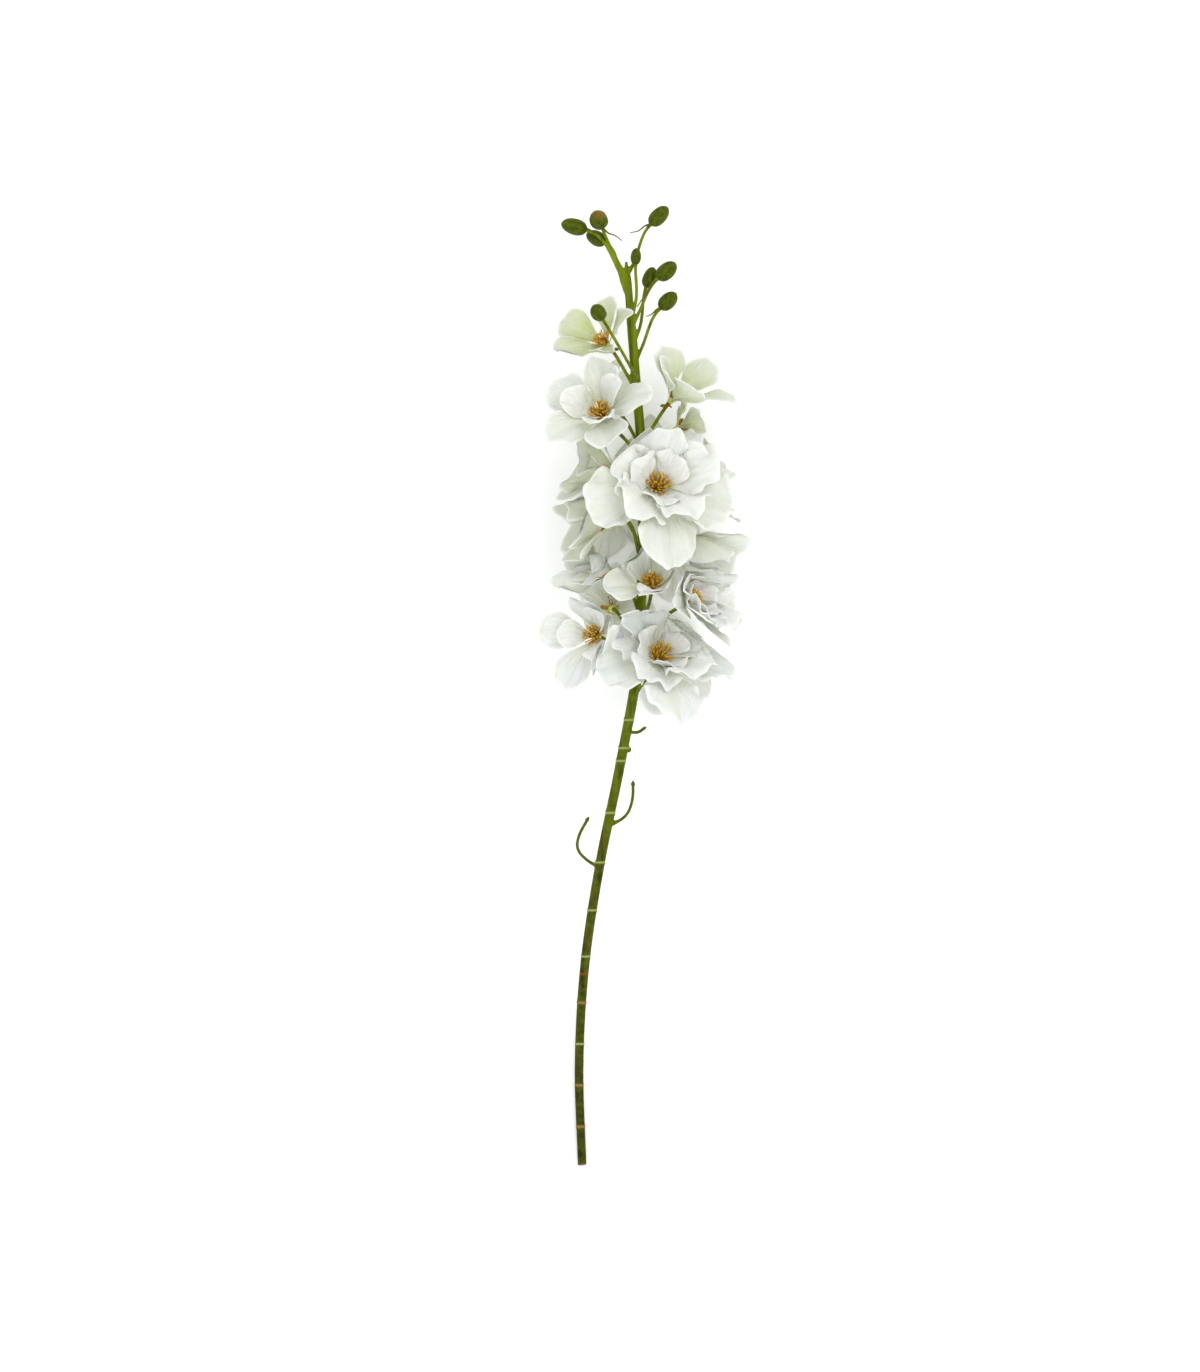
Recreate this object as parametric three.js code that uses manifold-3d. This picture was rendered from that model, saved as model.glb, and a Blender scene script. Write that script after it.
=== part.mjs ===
// A cut delphinium spike, lying on a surface.
// Millimetres, +Z up. +Y runs up the spike, from the cut end of the stem to the buds.
import * as THREE from 'three';
import { mergeVertices } from 'three/addons/utils/BufferGeometryUtils.js';
import Module from 'manifold-3d';

const { Manifold, Mesh: SolidMesh } = await loadManifold();
const V = (x, y, z) => new THREE.Vector3(x, y, z);
const { degToRad: radians, lerp, smoothstep, clamp } = THREE.MathUtils;
const UP_THE_SPIKE = V(0, 1, 0);

// ---- Driving dimensions ---------------------------------------------------------------------------------

const STEM_FOOT_Y = -299;        // the cut end
const STEM_FORK_Y = 266;         // where the top of the stem splits into the last bud stalks
// The stem's middle line, at equal steps from foot to fork: it bows sideways, and rises to the flowers.
const STEM_X = [-36.3, -38.2, -34.7, -25.4, -12.7, -1.8, 1, 1, -3.7, -8.9];
const STEM_Z = [2.4, 7.5, 14, 21, 28, 35, 41, 44, 45.5, 46];
const STEM_RADIUS = { foot: 2.75, flowers: 3.2, fork: 2.9 };
const STEM_KNEE = 0.55;          // share of the stem at which it is thickest
const STEM_SIDES = 7;
const STEM_STEPS = 12;
const JOINT_RISE = 0.28;         // how far a ring joint stands out of the stem
const JOINT_HALF_HEIGHT = 0.9;
const JOINTS_Y = [-274, -248, -222, -196, -167, -138, -108, -77, -44.5, -36.5, -19];

const PETAL_THICK = 0.8;
const SEAT_GAP = 0.3;            // between two pieces that touch
const SLIVER = 0.02;             // edges shorter than this are closed up after a join
const RECEPTACLE = { bottom: 1.5, top: 2.7, height: 4.6 };
// Where a petal starts in the receptacle; each inner whorl starts a step higher.
const PETAL_ROOT = { out: 1.7, up: 2.4, step: 0.7 };
const CLAW = 0.1;                // width of a petal's root, as a share of its full width
const WIDEST = 0.75;             // share of a petal's length at which it is widest
// The crease down a petal, as shares of its length and half width.
const MIDRIB = { deep: 0.025, wide: 0.22 };
const LEAN = 0.16;               // how much one side of a petal stands higher than the other
// The most that a whorl's petals differ: in degrees, and as shares of their size.
const UNLIKE = { turn: 8, tip: 9, length: 0.07, width: 0.07 };
// Outer petals that hang down the spike, from little to most, are longer and have less frill.
const HANG = { low: 0.2, high: 0.9, longer: 0.14, calmer: 0.75 };
const PETAL_COLUMNS = 4;

const PEDICEL_RADIUS = 1.25;
const PEDICEL_SIDES = 5;
const DROP = 27;                 // a bloom's stalk leaves the stem this far below the bloom
const STALK_BOW = 0.35;          // share of its span over which a stalk keeps its first and last direction
const BRACT = { length: 5.5, width: 1.4, below: 2.2, droop: 0.1 };
// A stamen's length is a share of the bloom's reach, and splay is how far it leans out, in degrees.
const STAMENS = { count: 7, length: 0.25, splay: 27, thick: 0.62, dome: 1.7 };

const MIDDLE = 0.3;              // a bloom's middle lies this share of its reach above its base
const NEAR = 1.2;                // blooms are neighbours within this many times their two reaches
const STEM_KEEP_OUT = 8;         // petals stay this far from the stem's middle line
// And this far from the middle of their own stamens: at the seat, and at the tips as a share of the reach.
const STAMEN_KEEP_OUT = { seat: 2.6, tips: 0.185 };
const BEND_ROOM = 4;             // a petal starts to give way this far before it meets another bloom
const FLOOR_ROOM = 1.2;          // and this far before it meets the surface that the spike lies on
const LAYER_STEP = 1.1;          // between petals that are pressed one on another
const NEIGHBOUR_GAP = 0.5;       // half of the least space between the petals of two blooms
const SHINGLE = 1.0;             // how much each bloom's upper petals slip in behind the bloom above it
const OVERLAP = 1.0;             // how much a bloom in front spreads over the ones beside it
const GIVE = 14;                 // a petal bends this far before it stands up instead
const STAND = { step: 5, most: 70, root: 62, tip: 86 };   // how it stands up, in degrees
const ROOT_SHARE = 0.35;         // how much a petal's root turns when its tip stands up

// ---- The flowers ----------------------------------------------------------------------------------------

// Petal whorls. Lengths and widths are shares of the bloom's reach, and angles are in degrees: root and tip
// are how far the midrib stands up from the bloom's flat, cup is how far the edges curl up. Rows are the
// places along a petal, from -1 to 1, where its blade is folded. frill is the height of the waves along the
// rim, as a share of the petal's length.
const OUTER_ROWS = [-1, -0.3, 0.36, 0.92];
const INNER_ROWS = [-1, 0.0, 0.88];
const OUTER = {
  count: 5, length: 1.0, width: 0.78, root: 44, tip: 4, cup: 32, frill: 0.035, waves: 5, start: 0,
  rows: OUTER_ROWS,
};
const WHORLS = {
  young: [OUTER],
  open: [{ ...OUTER, width: 0.9 }],
  single: [
    OUTER,
    { count: 3, length: 0.78, width: 0.6, root: 58, tip: 34, cup: 42, frill: 0.035, waves: 5, start: 36,
      rows: INNER_ROWS },
  ],
  double: [
    { ...OUTER, width: 0.9, root: 38, tip: -16, cup: 22, frill: 0.075, waves: 6 },
    { ...OUTER, length: 0.84, width: 0.84, root: 50, tip: 24, cup: 26, frill: 0.075, waves: 7, start: 36,
      rows: INNER_ROWS },
    { count: 3, length: 0.56, width: 0.62, root: 60, tip: 36, cup: 36, frill: 0.07, waves: 6, start: 12,
      rows: INNER_ROWS },
  ],
};

// The blooms, from the tip down. along: its base, up the spike. around: degrees round the stem from the
// side that faces up. out: from the stem's middle to the base. reach: length of an outer petal. nod:
// degrees that it tips towards the tip of the spike. turn: degrees that it looks aside. spin: where its
// first petal points, from the tip. shut: degrees that it is less than open. front: how far it lies over
// the blooms beside it. green: how far its petals are still green, from 0 to 1.
const AS_MOST = { turn: 0, shut: 0, front: 0, bracts: false };
const BLOOMS = [
  { kind: 'young', along: 213, around: -86, out: 15, reach: 32,
    nod: 32, turn: 46, spin: 2, shut: 10, green: 0.6, bracts: true },
  { kind: 'young', along: 178, around: 62, out: 22, reach: 36,
    nod: 44, turn: -10, spin: 72, shut: 26, front: 0.5, green: 0.4, bracts: true },
  { kind: 'single', along: 168, around: -48, out: 29, reach: 39,
    nod: 26, turn: 28, spin: 2, shut: 12, front: 1.6, green: 0.05, bracts: true },
  { kind: 'young', along: 161, around: 112, out: 22, reach: 28,
    nod: 20, spin: 10, shut: 20, green: 0.75, bracts: true },
  { kind: 'double', along: 123, around: 16, out: 28, reach: 48,
    nod: 22, turn: -6, spin: 36, front: 2.2, green: 0.1 },
  { kind: 'open', along: 135, around: -50, out: 18, reach: 40,
    nod: 10, turn: -50, spin: 36, shut: 8, front: 0.5, green: 0.15 },
  { kind: 'open', along: 106, around: -40, out: 23, reach: 44,
    nod: 2, turn: -54, spin: 20, shut: 6, front: 0.8, green: 0.15 },
  { kind: 'open', along: 125, around: 80, out: 31, reach: 35,
    nod: 14, turn: -6, spin: 36, front: 0.3, green: 0.1 },
  { kind: 'open', along: 96, around: 66, out: 27, reach: 39,
    nod: -40, turn: -10, spin: 36, shut: 26, front: 1.1, green: 0.15, bracts: true },
  { kind: 'single', along: 60, around: 12, out: 28, reach: 39,
    nod: 46, turn: -8, spin: 30, shut: -6, front: 1.3, green: 0.1 },
  { kind: 'single', along: 73, around: -44, out: 25, reach: 40,
    nod: 10, turn: -14, spin: 16, shut: 4, front: 0.6, green: 0.05 },
  { kind: 'single', along: 33, around: -60, out: 29, reach: 35,
    nod: 6, turn: 34, spin: -10, front: 2.2, green: 0.0 },
  { kind: 'double', along: 16, around: 24, out: 29, reach: 48,
    nod: 34, turn: -8, spin: 33, front: 2.6, green: 0.05 },
  { kind: 'double', along: 52, around: 50, out: 33, reach: 40,
    nod: 24, turn: 4, spin: 36, shut: 8, front: 2, green: 0.05 },
  { kind: 'open', along: 176, around: -136, out: 22, reach: 29,
    nod: 30, spin: 0, shut: 4, green: 0.4 },
  { kind: 'open', along: 142, around: 172, out: 27.6, reach: 31,
    nod: 14, spin: 0, shut: -6, green: 0.3 },
  { kind: 'open', along: 112, around: -150, out: 29, reach: 34,
    nod: 10, turn: -18, spin: 30, shut: -8, green: 0.1 },
  { kind: 'open', along: 82, around: 148, out: 30.6, reach: 35,
    nod: 10, turn: 20, spin: 10, shut: -4, green: 0.1 },
  { kind: 'open', along: 50, around: -145, out: 29, reach: 35,
    nod: 8, turn: -20, spin: 50, shut: -4, green: 0.05 },
  { kind: 'open', along: 20, around: 140, out: 27.6, reach: 34,
    nod: 4, turn: 24, spin: 20, shut: 0, green: 0.05 },
];

// One line a bud: its middle, the way its tip points, its length and width, and where its stalk leaves the
// stem.
const BUDS = [
  { at: [-41.3, 287.6, 50], points: [-1, 0.25, 0.05], long: 16.5, wide: 10.4, rootY: 250 },
  { at: [-26, 291.5, 57], points: [-0.25, 0.55, 0.8], long: 13.5, wide: 11.6, rootY: 256 },
  { at: [-27.5, 281, 42], points: [-0.85, 0.45, -0.3], long: 14, wide: 9.6, rootY: 244 },
  { at: [11.6, 294.4, 48], points: [0.7, 0.7, 0.1], long: 15.5, wide: 10, rootY: 258 },
  { at: [-2.8, 269, 52], points: [0.05, 0.95, 0.3], long: 10.5, wide: 6.6, rootY: 232 },
  { at: [5.9, 256.5, 43], points: [0.35, 0.93, -0.1], long: 13.6, wide: 8.6, rootY: 216 },
  { at: [16.3, 260, 52], points: [0.75, 0.65, 0.1], long: 15, wide: 10.4, rootY: 226 },
  { at: [17.2, 241.5, 50], points: [0.72, 0.68, 0.15], long: 14, wide: 10, rootY: 204 },
  { at: [-26.3, 232.5, 88], points: [-0.35, 0.5, 0.8], long: 13, wide: 9.6, rootY: 194,
    leaves: [0, 0, 1.6] },
];

// Bare floret pegs low on the stem: each a bent stalk through these points, with a knob at its end.
const PEG_RADIUS = 1.0;
const PEGS = [
  { knob: 1.6,
    path: [[-18, -84, 25], [-11.4, -80.8, 26], [-6.9, -75.4, 27], [-4.7, -67, 28.5], [-4.5, -58.5, 30]] },
  { knob: 1.6,
    path: [[-23.5, -112, 21], [-32.6, -107, 22], [-38.8, -100, 23.5], [-38.3, -91.5, 25],
      [-32.9, -81, 26.5]] },
  { knob: 1.25,
    path: [[-7.5, -26.5, 32], [-1.5, -26.6, 33], [2.9, -23.8, 34]] },
];
const PEG_STEPS = 6;
const NUB = { at: [-7.2, -37.4, 30.6], radius: 1.7 };

// ---- Curves and places ----------------------------------------------------------------------------------

const stemLine = new THREE.CatmullRomCurve3(
  STEM_X.map((x, i) => {
    const share = i / (STEM_X.length - 1);
    return V(x, lerp(STEM_FOOT_Y, STEM_FORK_Y, share), STEM_Z[i]);
  }), false, 'catmullrom', 0.5);

const shareUpStem = (y) => clamp((y - STEM_FOOT_Y) / (STEM_FORK_Y - STEM_FOOT_Y), 0, 1);

const stemAt = (y) => stemLine.getPoint(shareUpStem(y));

// A direction straight out of the stem, degrees round it from the side that faces up.
function outward(degrees) {
  return V(Math.sin(radians(degrees)), 0, Math.cos(radians(degrees)));
}

// A bloom with its own axes: facing is the way it looks, and up and right lie in its flat.
function placed(row) {
  const bloom = { ...AS_MOST, ...row };
  const out = outward(bloom.around);
  const looks = outward(bloom.around + bloom.turn);
  const nod = radians(bloom.nod);
  const base = stemAt(bloom.along).addScaledVector(out, bloom.out);
  const facing = looks.clone().multiplyScalar(Math.cos(nod)).addScaledVector(UP_THE_SPIKE, Math.sin(nod));
  const right = V(looks.z, 0, -looks.x);
  const up = facing.clone().cross(right);
  const middle = base.clone().addScaledVector(facing, MIDDLE * bloom.reach);
  return { ...bloom, out, base, facing, right, up, middle };
}

// A direction in a bloom's flat, turned from its up towards its right.
function inFlat(bloom, turn) {
  return bloom.up.clone().multiplyScalar(Math.cos(turn)).addScaledVector(bloom.right, Math.sin(turn));
}

// A number from -1 to 1 that looks random, and is the same each time for the same seed and use.
function draw(seed, use) {
  const wild = Math.sin(seed * 12.9898 + use * 78.233) * 43758.5453;
  return 2 * (wild - Math.floor(wild)) - 1;
}

// ---- Petals that give way -------------------------------------------------------------------------------

const FLOOR = { normal: V(0, 0, -1), limit: 0.05 - PETAL_THICK / 2, room: FLOOR_ROOM };

// The walls that a bloom's petals stay behind: one plane between it and each neighbour, and the surface it
// lies on. The plane between two blooms leans where one of them is higher up the spike or further in front.
function wallsOf(bloom, blooms) {
  const walls = [FLOOR];
  for (const other of blooms) {
    const way = other.middle.clone().sub(bloom.middle);
    const far = way.length();
    if (other === bloom || far > NEAR * (bloom.reach + other.reach)) continue;
    const share = (far + (bloom.reach ** 2 - other.reach ** 2) / (2 * far)) / 2;
    const onWall = bloom.middle.clone().addScaledVector(way, share / far);
    const normal = way.divideScalar(far);
    const outwards = bloom.out.clone().add(other.out).multiplyScalar(0.5);
    const inFront = other.front - bloom.front;
    normal.addScaledVector(outwards, SHINGLE * normal.y + OVERLAP * inFront).normalize();
    walls.push({ normal, limit: normal.dot(onWall) - NEIGHBOUR_GAP - PETAL_THICK / 2, room: BEND_ROOM });
  }
  return walls;
}

// Moves a point straight away from a middle, softly, until it is at least a radius from it.
function pushFrom(point, middle, radius) {
  const away = point.clone().sub(middle);
  const near = away.length();
  if (near < 2 * radius) {
    point.copy(middle).addScaledVector(away, (radius + near * near / (4 * radius)) / near);
  }
}

// The room that a bloom's stamens need at a height above its base: none in the receptacle, and most at
// their tips.
function stamenRoom(height, reach) {
  const seat = RECEPTACLE.height;
  const tips = seat + STAMENS.length * reach;
  return STAMEN_KEEP_OUT.seat * smoothstep(height, seat - 1.6, seat + 1)
    + (STAMEN_KEEP_OUT.tips * reach - STAMEN_KEEP_OUT.seat) * smoothstep(height, seat, tips);
}

// Moves a point of a petal back from its walls, softly, so that the petal bends along a wall and lies flat
// on it. Then keeps it off the stem, and off the bloom's own stamens.
function press(point, petal) {
  for (let pass = 0; pass < 2; pass++) {
    for (const { normal, limit, room } of petal.walls) {
      const past = point.dot(normal) - (limit - petal.layer * LAYER_STEP - room);
      if (past <= 0) continue;
      const kept = past < 2 * room ? past - past * past / (4 * room) : room;
      point.addScaledVector(normal, kept - past);
    }
  }
  pushFrom(point, stemAt(point.y), STEM_KEEP_OUT);
  const height = point.clone().sub(petal.base).dot(petal.facing);
  const level = petal.base.clone().addScaledVector(petal.facing, height);
  pushFrom(point, level, stamenRoom(height, petal.reach));
  return point;
}

// A petal's middle surface before it gives way. Across and along run from -1 to 1 on a disc, along from
// root to tip.
function petalShape(petal, across, along) {
  const share = (along + 1) / 2;
  const halfWidth = petal.width / 2;
  const side = across * halfWidth * lerp(CLAW, 1, smoothstep(share, 0, WIDEST));
  const bend = petal.tip - petal.root;
  const slope = petal.root + bend * share;
  const reach = PETAL_ROOT.out + petal.length * (Math.sin(slope) - Math.sin(petal.root)) / bend;
  const rise = PETAL_ROOT.up + PETAL_ROOT.step * petal.ring
    + petal.length * (Math.cos(petal.root) - Math.cos(slope)) / bend;
  const curl = side * petal.cup / halfWidth;
  const lateral = Math.sin(curl) * halfWidth / petal.cup;
  const rim = smoothstep(Math.hypot(across, along), 0.25, 1.1) * smoothstep(share, 0.2, 0.7);
  const wave = petal.frill * rim * Math.sin(petal.waves * Math.atan2(across, along + 0.3) + petal.phase);
  const groove = Math.exp(-((across / MIDRIB.wide) ** 2)) * smoothstep(share, 0.1, 0.5);
  const crease = MIDRIB.deep * petal.length * groove;
  const lift = (1 - Math.cos(curl)) * halfWidth / petal.cup + wave - crease + lateral * LEAN;
  return petal.base.clone()
    .addScaledVector(petal.facing, rise + lift * Math.cos(slope))
    .addScaledVector(petal.away, reach - lift * Math.sin(slope))
    .addScaledVector(petal.aside, lateral);
}

const petalPoint = (petal, across, along) =>
  press(petalShape(petal, across, along), petal);

// Stands a petal up, a little at a time, until its outline is clear of its neighbours.
const PROBES = [[0, 1], [0.7, 0.7], [-0.7, 0.7], [0.95, 0.1], [-0.95, 0.1], [0, 0.3]];
function shutUntilClear(petal) {
  const { root, tip } = petal;
  for (let shut = 0; shut <= STAND.most; shut += STAND.step) {
    petal.root = Math.min(root + ROOT_SHARE * radians(shut), radians(STAND.root));
    petal.tip = Math.min(tip + radians(shut), radians(STAND.tip));
    const clear = PROBES.every(([a, b]) => {
      const point = petalShape(petal, a, b);
      return petal.walls.every((wall) => wall === FLOOR || point.dot(wall.normal) < wall.limit + GIVE);
    });
    if (clear) break;
  }
  return petal;
}

// The petals of one bloom, whorl by whorl, each a little unlike the next.
function petalsOf(bloom, number, blooms) {
  const walls = wallsOf(bloom, blooms);
  const petals = [];
  WHORLS[bloom.kind].forEach((whorl, ring) => {
    for (let i = 0; i < whorl.count; i++) {
      const seed = 100 * number + 10 * ring + i;
      const place = whorl.start + 360 / whorl.count * i + UNLIKE.turn * draw(seed, 1);
      const turn = radians(bloom.spin + place);
      const away = inFlat(bloom, turn);
      const hang = ring === 0 ? smoothstep(-away.y, HANG.low, HANG.high) : 0;
      const usual = bloom.reach * whorl.length * (1 + UNLIKE.length * draw(seed, 2));
      const length = usual * (1 + HANG.longer * hang);
      petals.push(shutUntilClear({
        ...bloom,
        walls,
        ring,
        layer: (i % 3) + 3 * ring,
        away,
        aside: inFlat(bloom, turn + Math.PI / 2),
        length,
        width: bloom.reach * whorl.width * (1 + UNLIKE.width * draw(seed, 3)),
        root: radians(Math.min(whorl.root + ROOT_SHARE * bloom.shut, STAND.root)),
        tip: radians(whorl.tip + bloom.shut + UNLIKE.tip * draw(seed, 4)),
        cup: radians(whorl.cup),
        frill: whorl.frill * length * (1 - HANG.calmer * hang),
        waves: whorl.waves,
        rows: whorl.rows,
        phase: Math.PI * draw(seed, 5),
      }));
    }
  });
  return petals;
}

// One petal as a thin closed blade. Its rows narrow to one point at the root, and both faces are split
// alike.
function petalBlade(petal) {
  const step = 0.02;
  const at = (across, along) => petalPoint(petal, across, along);
  const corners = [];
  for (const along of petal.rows) {
    const wide = Math.sqrt(1 - along * along);
    const count = wide < 1e-6 ? 1 : PETAL_COLUMNS;
    for (let c = 0; c < count; c++) {
      const across = count === 1 ? 0 : wide * (2 * c / (count - 1) - 1);
      const rightwards = at(across + step, along).sub(at(across - step, along));
      const tipwards = at(across, along + step).sub(at(across, along - step));
      const half = rightwards.cross(tipwards).setLength(PETAL_THICK / 2);
      const middle = at(across, along);
      corners.push([middle.clone().add(half), middle.clone().sub(half)]);
    }
  }
  const corner = (row, column) => (row === 0 ? 0 : 1 + (row - 1) * PETAL_COLUMNS + column);
  const faces = [];
  for (let row = 0; row < petal.rows.length - 1; row++) {
    for (let column = 0; column < PETAL_COLUMNS - 1; column++) {
      const [a, b] = [corner(row, column), corner(row, column + 1)];
      const [c, d] = [corner(row + 1, column), corner(row + 1, column + 1)];
      if (row > 0) faces.push([a, b, d]);
      faces.push([a, d, c]);
    }
  }
  const last = petal.rows.length - 1;
  const rim = [corner(0, 0)];
  for (let row = 1; row <= last; row++) rim.push(corner(row, PETAL_COLUMNS - 1));
  for (let column = PETAL_COLUMNS - 2; column >= 0; column--) rim.push(corner(last, column));
  for (let row = last - 1; row > 0; row--) rim.push(corner(row, 0));

  const triangles = [];
  for (const [a, b, c] of faces) {
    triangles.push(corners[a][0], corners[b][0], corners[c][0]);
    triangles.push(corners[c][1], corners[b][1], corners[a][1]);
  }
  rim.forEach((here, i) => {
    const next = rim[(i + 1) % rim.length];
    triangles.push(corners[here][0], corners[here][1], corners[next][1]);
    triangles.push(corners[here][0], corners[next][1], corners[next][0]);
  });
  return solid(new THREE.BufferGeometry().setFromPoints(triangles));
}

// ---- Solids ---------------------------------------------------------------------------------------------

async function loadManifold() {
  const wasm = await Module();
  wasm.setup();
  return wasm;
}

// A closed geometry as a manifold-3d solid.
function solid(geometry) {
  const bare = geometry.index ? geometry.toNonIndexed() : geometry;
  bare.deleteAttribute('normal');
  bare.deleteAttribute('uv');
  const merged = mergeVertices(bare, 1e-4);
  const made = new Manifold(new SolidMesh({
    numProp: 3,
    vertProperties: merged.attributes.position.array,
    triVerts: new Uint32Array(merged.index.array),
  }));
  if (made.volume() <= 0) throw new Error('a geometry is inside out');
  return made;
}

// Several solids joined in one, without the loose scraps and the slivers that a join leaves.
function joined(solids) {
  const whole = solids.reduce((sum, next) => sum.add(next)).simplify(SLIVER);
  return whole.decompose().reduce((best, body) => (body.volume() > best.volume() ? body : best));
}

// A solid cut off level where it would pass below the surface that the spike lies on.
function restedOnSurface(body) {
  const depth = 40;
  const below = new THREE.BoxGeometry(300, 900, depth).translate(0, 0, -depth / 2);
  return joined([body.subtract(solid(below))]);
}

// A mesh of a solid, ready for the scene.
function mesh(name, body, material) {
  const { vertProperties, triVerts } = body.getMesh();
  const geometry = new THREE.BufferGeometry();
  geometry.setAttribute('position', new THREE.BufferAttribute(vertProperties, 3));
  geometry.setIndex(new THREE.BufferAttribute(triVerts, 1));
  geometry.computeVertexNormals();
  const made = new THREE.Mesh(geometry, material);
  made.name = name;
  return made;
}

// A turned profile, bent along a curve: profile points are [radius, share of the curve's length].
function turnedAlong(curve, profile, sides, across) {
  const points = profile.map(([radius, share]) => new THREE.Vector2(radius, share));
  const geometry = new THREE.LatheGeometry(points, sides);
  const position = geometry.attributes.position;
  for (let i = 0; i < position.count; i++) {
    const share = position.getY(i);
    const along = curve.getTangent(share);
    const first = across.clone().addScaledVector(along, -across.dot(along)).normalize();
    const second = first.clone().cross(along);
    const point = curve.getPoint(share)
      .addScaledVector(first, position.getX(i))
      .addScaledVector(second, position.getZ(i));
    position.setXYZ(i, point.x, point.y, point.z);
  }
  return solid(geometry);
}

// A shape turned about +Y, stood at a point with its +Y along a direction.
function stood(geometry, at, direction) {
  const turn = new THREE.Quaternion().setFromUnitVectors(UP_THE_SPIKE, direction.clone().normalize());
  return solid(geometry.applyQuaternion(turn).translate(at.x, at.y, at.z));
}

// ---- The pieces -----------------------------------------------------------------------------------------

// The cup that a bloom's petals and stamens stand in.
function receptacle(bloom) {
  const { bottom, top, height } = RECEPTACLE;
  const outline = [[0, SEAT_GAP], [bottom, SEAT_GAP], [top, height], [0, height]];
  const turned = new THREE.LatheGeometry(outline.map(([x, y]) => new THREE.Vector2(x, y)), 6);
  return stood(turned, bloom.base, bloom.facing);
}

function bloomSolid(bloom, number, blooms) {
  const petals = petalsOf(bloom, number, blooms).map(petalBlade);
  return restedOnSurface(joined([receptacle(bloom), ...petals]));
}

// A low cushion with a splay of stamens standing in it.
function stamenSolid(bloom, number) {
  const { count, length, splay, thick, dome } = STAMENS;
  const seat = RECEPTACLE.height + SEAT_GAP;
  const outline = [[0, 0], [dome, 0], [0, dome * 0.6]];
  const cushion = new THREE.LatheGeometry(outline.map(([x, y]) => new THREE.Vector2(x, y)), 5);
  const middle = bloom.base.clone().addScaledVector(bloom.facing, seat);
  const pieces = [stood(cushion, middle, bloom.facing)];
  for (let i = 0; i < count; i++) {
    const round = 2 * Math.PI * i / count + draw(number, 20 + i) * 0.3;
    const tilt = radians(splay) * (0.85 + 0.15 * draw(number, 40 + i));
    const tall = length * bloom.reach * (1 + 0.1 * draw(number, 60 + i));
    const out = inFlat(bloom, round);
    const way = bloom.facing.clone().multiplyScalar(Math.cos(tilt)).addScaledVector(out, Math.sin(tilt));
    const foot = middle.clone().addScaledVector(out, dome * 0.3).addScaledVector(bloom.facing, 0.3);
    pieces.push(stood(new THREE.CylinderGeometry(thick, 0, tall, 3).translate(0, tall / 2, 0), foot, way));
  }
  return joined(pieces);
}

// The stem, swelling at its ring joints.
function stemRod() {
  const { foot, flowers, fork } = STEM_RADIUS;
  const radiusAt = (share) => (share < STEM_KNEE
    ? lerp(foot, flowers, share / STEM_KNEE)
    : lerp(flowers, fork, (share - STEM_KNEE) / (1 - STEM_KNEE)));
  const stations = [];
  for (let i = 0; i <= STEM_STEPS; i++) {
    const share = i / STEM_STEPS;
    const clear = JOINTS_Y.every((y) => Math.abs(shareUpStem(y) - share) > 0.01);
    if (clear) stations.push([radiusAt(share), share]);
  }
  const half = JOINT_HALF_HEIGHT / (STEM_FORK_Y - STEM_FOOT_Y);
  for (const y of JOINTS_Y) {
    const share = shareUpStem(y);
    stations.push([radiusAt(share), share - half], [radiusAt(share) + JOINT_RISE, share]);
    stations.push([radiusAt(share), share + half]);
  }
  stations.sort((a, b) => a[1] - b[1]);
  return turnedAlong(stemLine, [[0, 0], ...stations, [0, 1]], STEM_SIDES, V(1, 0, 0));
}

// A stalk from the stem to a bloom or bud: it leaves the stem on the slant and ends the way its flower
// faces.
function stalk(rootY, end, facing, radius, leaves) {
  const root = stemAt(rootY);
  const out = end.clone().sub(stemAt(end.y)).setY(0).normalize();
  const reach = end.distanceTo(root);
  const leaving = leaves ? V(...leaves) : out.clone().multiplyScalar(0.7).add(UP_THE_SPIKE);
  const curve = new THREE.CubicBezierCurve3(
    root,
    root.clone().addScaledVector(leaving, reach * STALK_BOW),
    end.clone().addScaledVector(facing, -reach * STALK_BOW),
    end,
  );
  const across = V(out.z, 0, -out.x);
  const profile = [[0, 0], [radius, 0], [radius, 0.35], [radius, 0.7], [radius * 1.15, 1], [0, 1]];
  return turnedAlong(curve, profile, PEDICEL_SIDES, across);
}

// Two small bracts where a bloom's stalk ends.
function bracts(bloom) {
  return [-1, 1].map((hand) => {
    const blade = new THREE.ConeGeometry(BRACT.width, BRACT.length, 3).translate(0, BRACT.length / 2, 0);
    blade.scale(1, 1, 0.5);
    const foot = bloom.base.clone().addScaledVector(bloom.facing, -BRACT.below);
    const way = bloom.right.clone().multiplyScalar(hand).addScaledVector(bloom.facing, -BRACT.droop);
    return stood(blade, foot, way);
  });
}

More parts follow.
